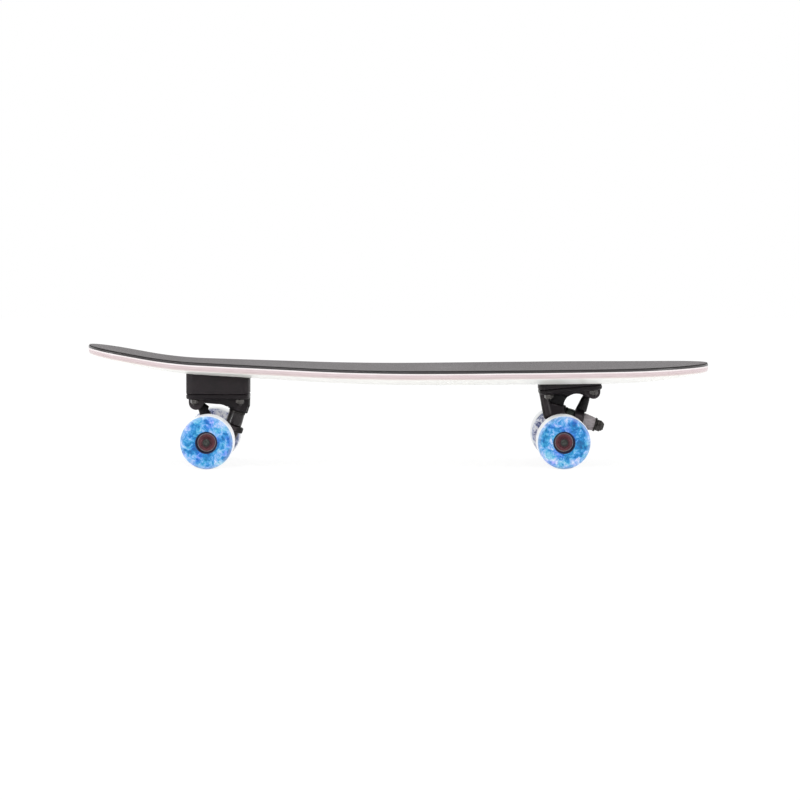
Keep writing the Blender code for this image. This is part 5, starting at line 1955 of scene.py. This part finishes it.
for truck in TRUCKS:
    for side, way in SIDES:
        for label, start in (("inner", HANGER_LENGTH / 2), ("outer", NUT_PLACE - SPEED_WASHER)):
            low = start + WASHER_CLEARANCE
            high = start + SPEED_WASHER - WASHER_CLEARANCE
            profile = [
                (WASHER_BORE, low),
                (INNER_RING_RADIUS - WASHER_EDGE, low),
                (INNER_RING_RADIUS, low + WASHER_EDGE),
                (INNER_RING_RADIUS, high - WASHER_EDGE),
                (INNER_RING_RADIUS - WASHER_EDGE, high),
                (WASHER_BORE, high),
            ]
            shape = on_axle(truck, turn(profile, closed=True), way)
            washer = keep(f"{truck.name}_{side}_{label}_speed_washer", shape, ring_steel)
            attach(washer, f"{truck.name}_hanger")


# The axle nuts
# Lock nuts of the same make as the kingpin nuts, one on each axle end. Their blackening has a
# reddish brown tone.

axle_nut_steel = steel("blackened_axle_nut_steel", paint(70, 44, 48), paint(104, 68, 73), 0.34)
AXLE_NUT_OVERLAP = 0.0003

for truck in TRUCKS:
    for side, way in SIDES:
        shape = lock_nut(AXLE_NUT_FLATS, AXLE_NUT_HEIGHT, AXLE_RADIUS - AXLE_NUT_OVERLAP)
        shape = on_axle(truck, shape, way, NUT_PLACE + SEAT_GAP + AXLE_NUT_HEIGHT / 2)
        name = f"{truck.name}_{side}"
        nut = keep(f"{name}_wheel_nut", shape, axle_nut_steel, nylon, sharp=NUT_SHARP)
        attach(nut, f"{truck.name}_hanger")
        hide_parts(f"{name}_axle_nut")


# The deck bolts
# Countersunk cross-head screws of blackened steel, dropped through grip, deck, riser and plate.
# Their heads lie flush in the grip and their threaded tips show below the nuts.

BOLT_NUT_FLATS = 0.0095
BOLT_NUT_HEIGHT = 0.0058
BOLT_TIP = 0.0015
BOLT_PITCH = 0.00079
BOLT_CHAMFER = 0.0004
BOLT_THREAD = 0.010
BOLT_STEPS = 24
BOLT_HEAD_EDGE = (0.0002, 0.0001)
SLOT_LENGTH = 0.0052
SLOT_WIDTH = 0.0010
SLOT_LEVELS = ((0.45, -0.0016), (1.08, 0.0002))
TURN_BETWEEN_BOLTS = math.radians(23)

bolt_steel = steel("blackened_bolt_steel", paint(46, 45, 46), paint(80, 78, 79), 0.36)


def deck_bolt(reach, tip):
    """Shank and head of a bolt on Z, its plate at zero, its head at reach and its tip below."""
    neck = reach - BOLT_HEAD_DEPTH
    shank = threaded_rod(
        BOLT_RADIUS, -tip, neck, -tip + BOLT_THREAD, BOLT_PITCH, BOLT_CHAMFER, BOLT_STEPS
    )
    inwards, down = BOLT_HEAD_EDGE
    head = [
        (0.0, reach),
        (BOLT_HEAD_RADIUS - inwards, reach),
        (BOLT_HEAD_RADIUS, reach - down),
        (BOLT_HEAD_RADIUS, reach - BOLT_HEAD_RIM),
        (BOLT_RADIUS, neck),
        (0.0, neck),
    ]
    return shank, turn(head)


def cross_slots(reach):
    """Two crossed slots for the driver, tapered along their length."""
    slots = []
    for width, length in ((SLOT_WIDTH, SLOT_LENGTH), (SLOT_LENGTH, SLOT_WIDTH)):
        rings = []
        for share, over in SLOT_LEVELS:
            a = width / 2 * (share if width > length else 1.0)
            b = length / 2 * (share if length > width else 1.0)
            z = reach + over
            rings.append([(a, b, z), (-a, b, z), (-a, -b, z), (a, -b, z)])
        slots.append(stack_rings(rings))
    return slots


for truck in TRUCKS:
    lean = lean_of_plate(truck.plate)
    tip = truck.plate_thickness + SEAT_GAP + BOLT_NUT_HEIGHT + BOLT_TIP
    for number, (foot, reach) in enumerate(bolt_places(truck.plate), start=1):
        name = f"{truck.name}_deck_bolt_{number}"
        shank_shape, head_shape = deck_bolt(reach, tip)
        head = keep(f"{name}_head", placed(head_shape, foot, lean), bolt_steel)
        slots = cross_slots(reach)
        for slot in slots:
            slot.transform(Matrix.Rotation(TURN_BETWEEN_BOLTS * number, 4, "Z"))
        cut(head, [cutter(placed(slot, foot, lean)) for slot in slots])
        shank = keep(f"{name}_shank", placed(shank_shape, foot, lean), bolt_steel)
        for piece in (head, shank):
            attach(piece, "deck")
            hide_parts(f"{truck.name}_bolt_{number}")


# The bolt nuts
# Small lock nuts under the baseplates, eight of them. They are the only plain zinc-plated pieces
# on the board and shine where they catch the light.

BOLT_NUT_OVERLAP = 0.0002
TURN_BETWEEN_NUTS = math.radians(17)

bolt_nut_steel = steel("plated_nut_steel", paint(52, 51, 50), paint(108, 105, 103), 0.15)
for truck in TRUCKS:
    drop = up_from_plate(truck.plate)
    drop *= truck.plate_thickness + SEAT_GAP + BOLT_NUT_HEIGHT / 2
    for number, (foot, _) in enumerate(bolt_places(truck.plate), start=1):
        shape = lock_nut(BOLT_NUT_FLATS, BOLT_NUT_HEIGHT, BOLT_RADIUS - BOLT_NUT_OVERLAP)
        shape.transform(Matrix.Rotation(math.pi, 4, "X"))
        shape.transform(Matrix.Rotation(TURN_BETWEEN_NUTS * number, 4, "Z"))
        shape = placed(shape, foot - drop, lean_of_plate(truck.plate))
        name = f"{truck.name}_lock_nut_{number}"
        nut = keep(name, shape, bolt_nut_steel, nylon, sharp=NUT_SHARP)
        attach(nut, "deck")
        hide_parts(f"{truck.name}_bolt_nut_{number}")


# Sizes
# The box of the model and the box of the dressed board, kept side by side in one table. The
# model's own box is taken before anything is added to it.

visual_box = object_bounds()
sizes = {
    "cad": [list(corner) for corner in cad_box],
    "visual": [list(corner) for corner in visual_box],
}
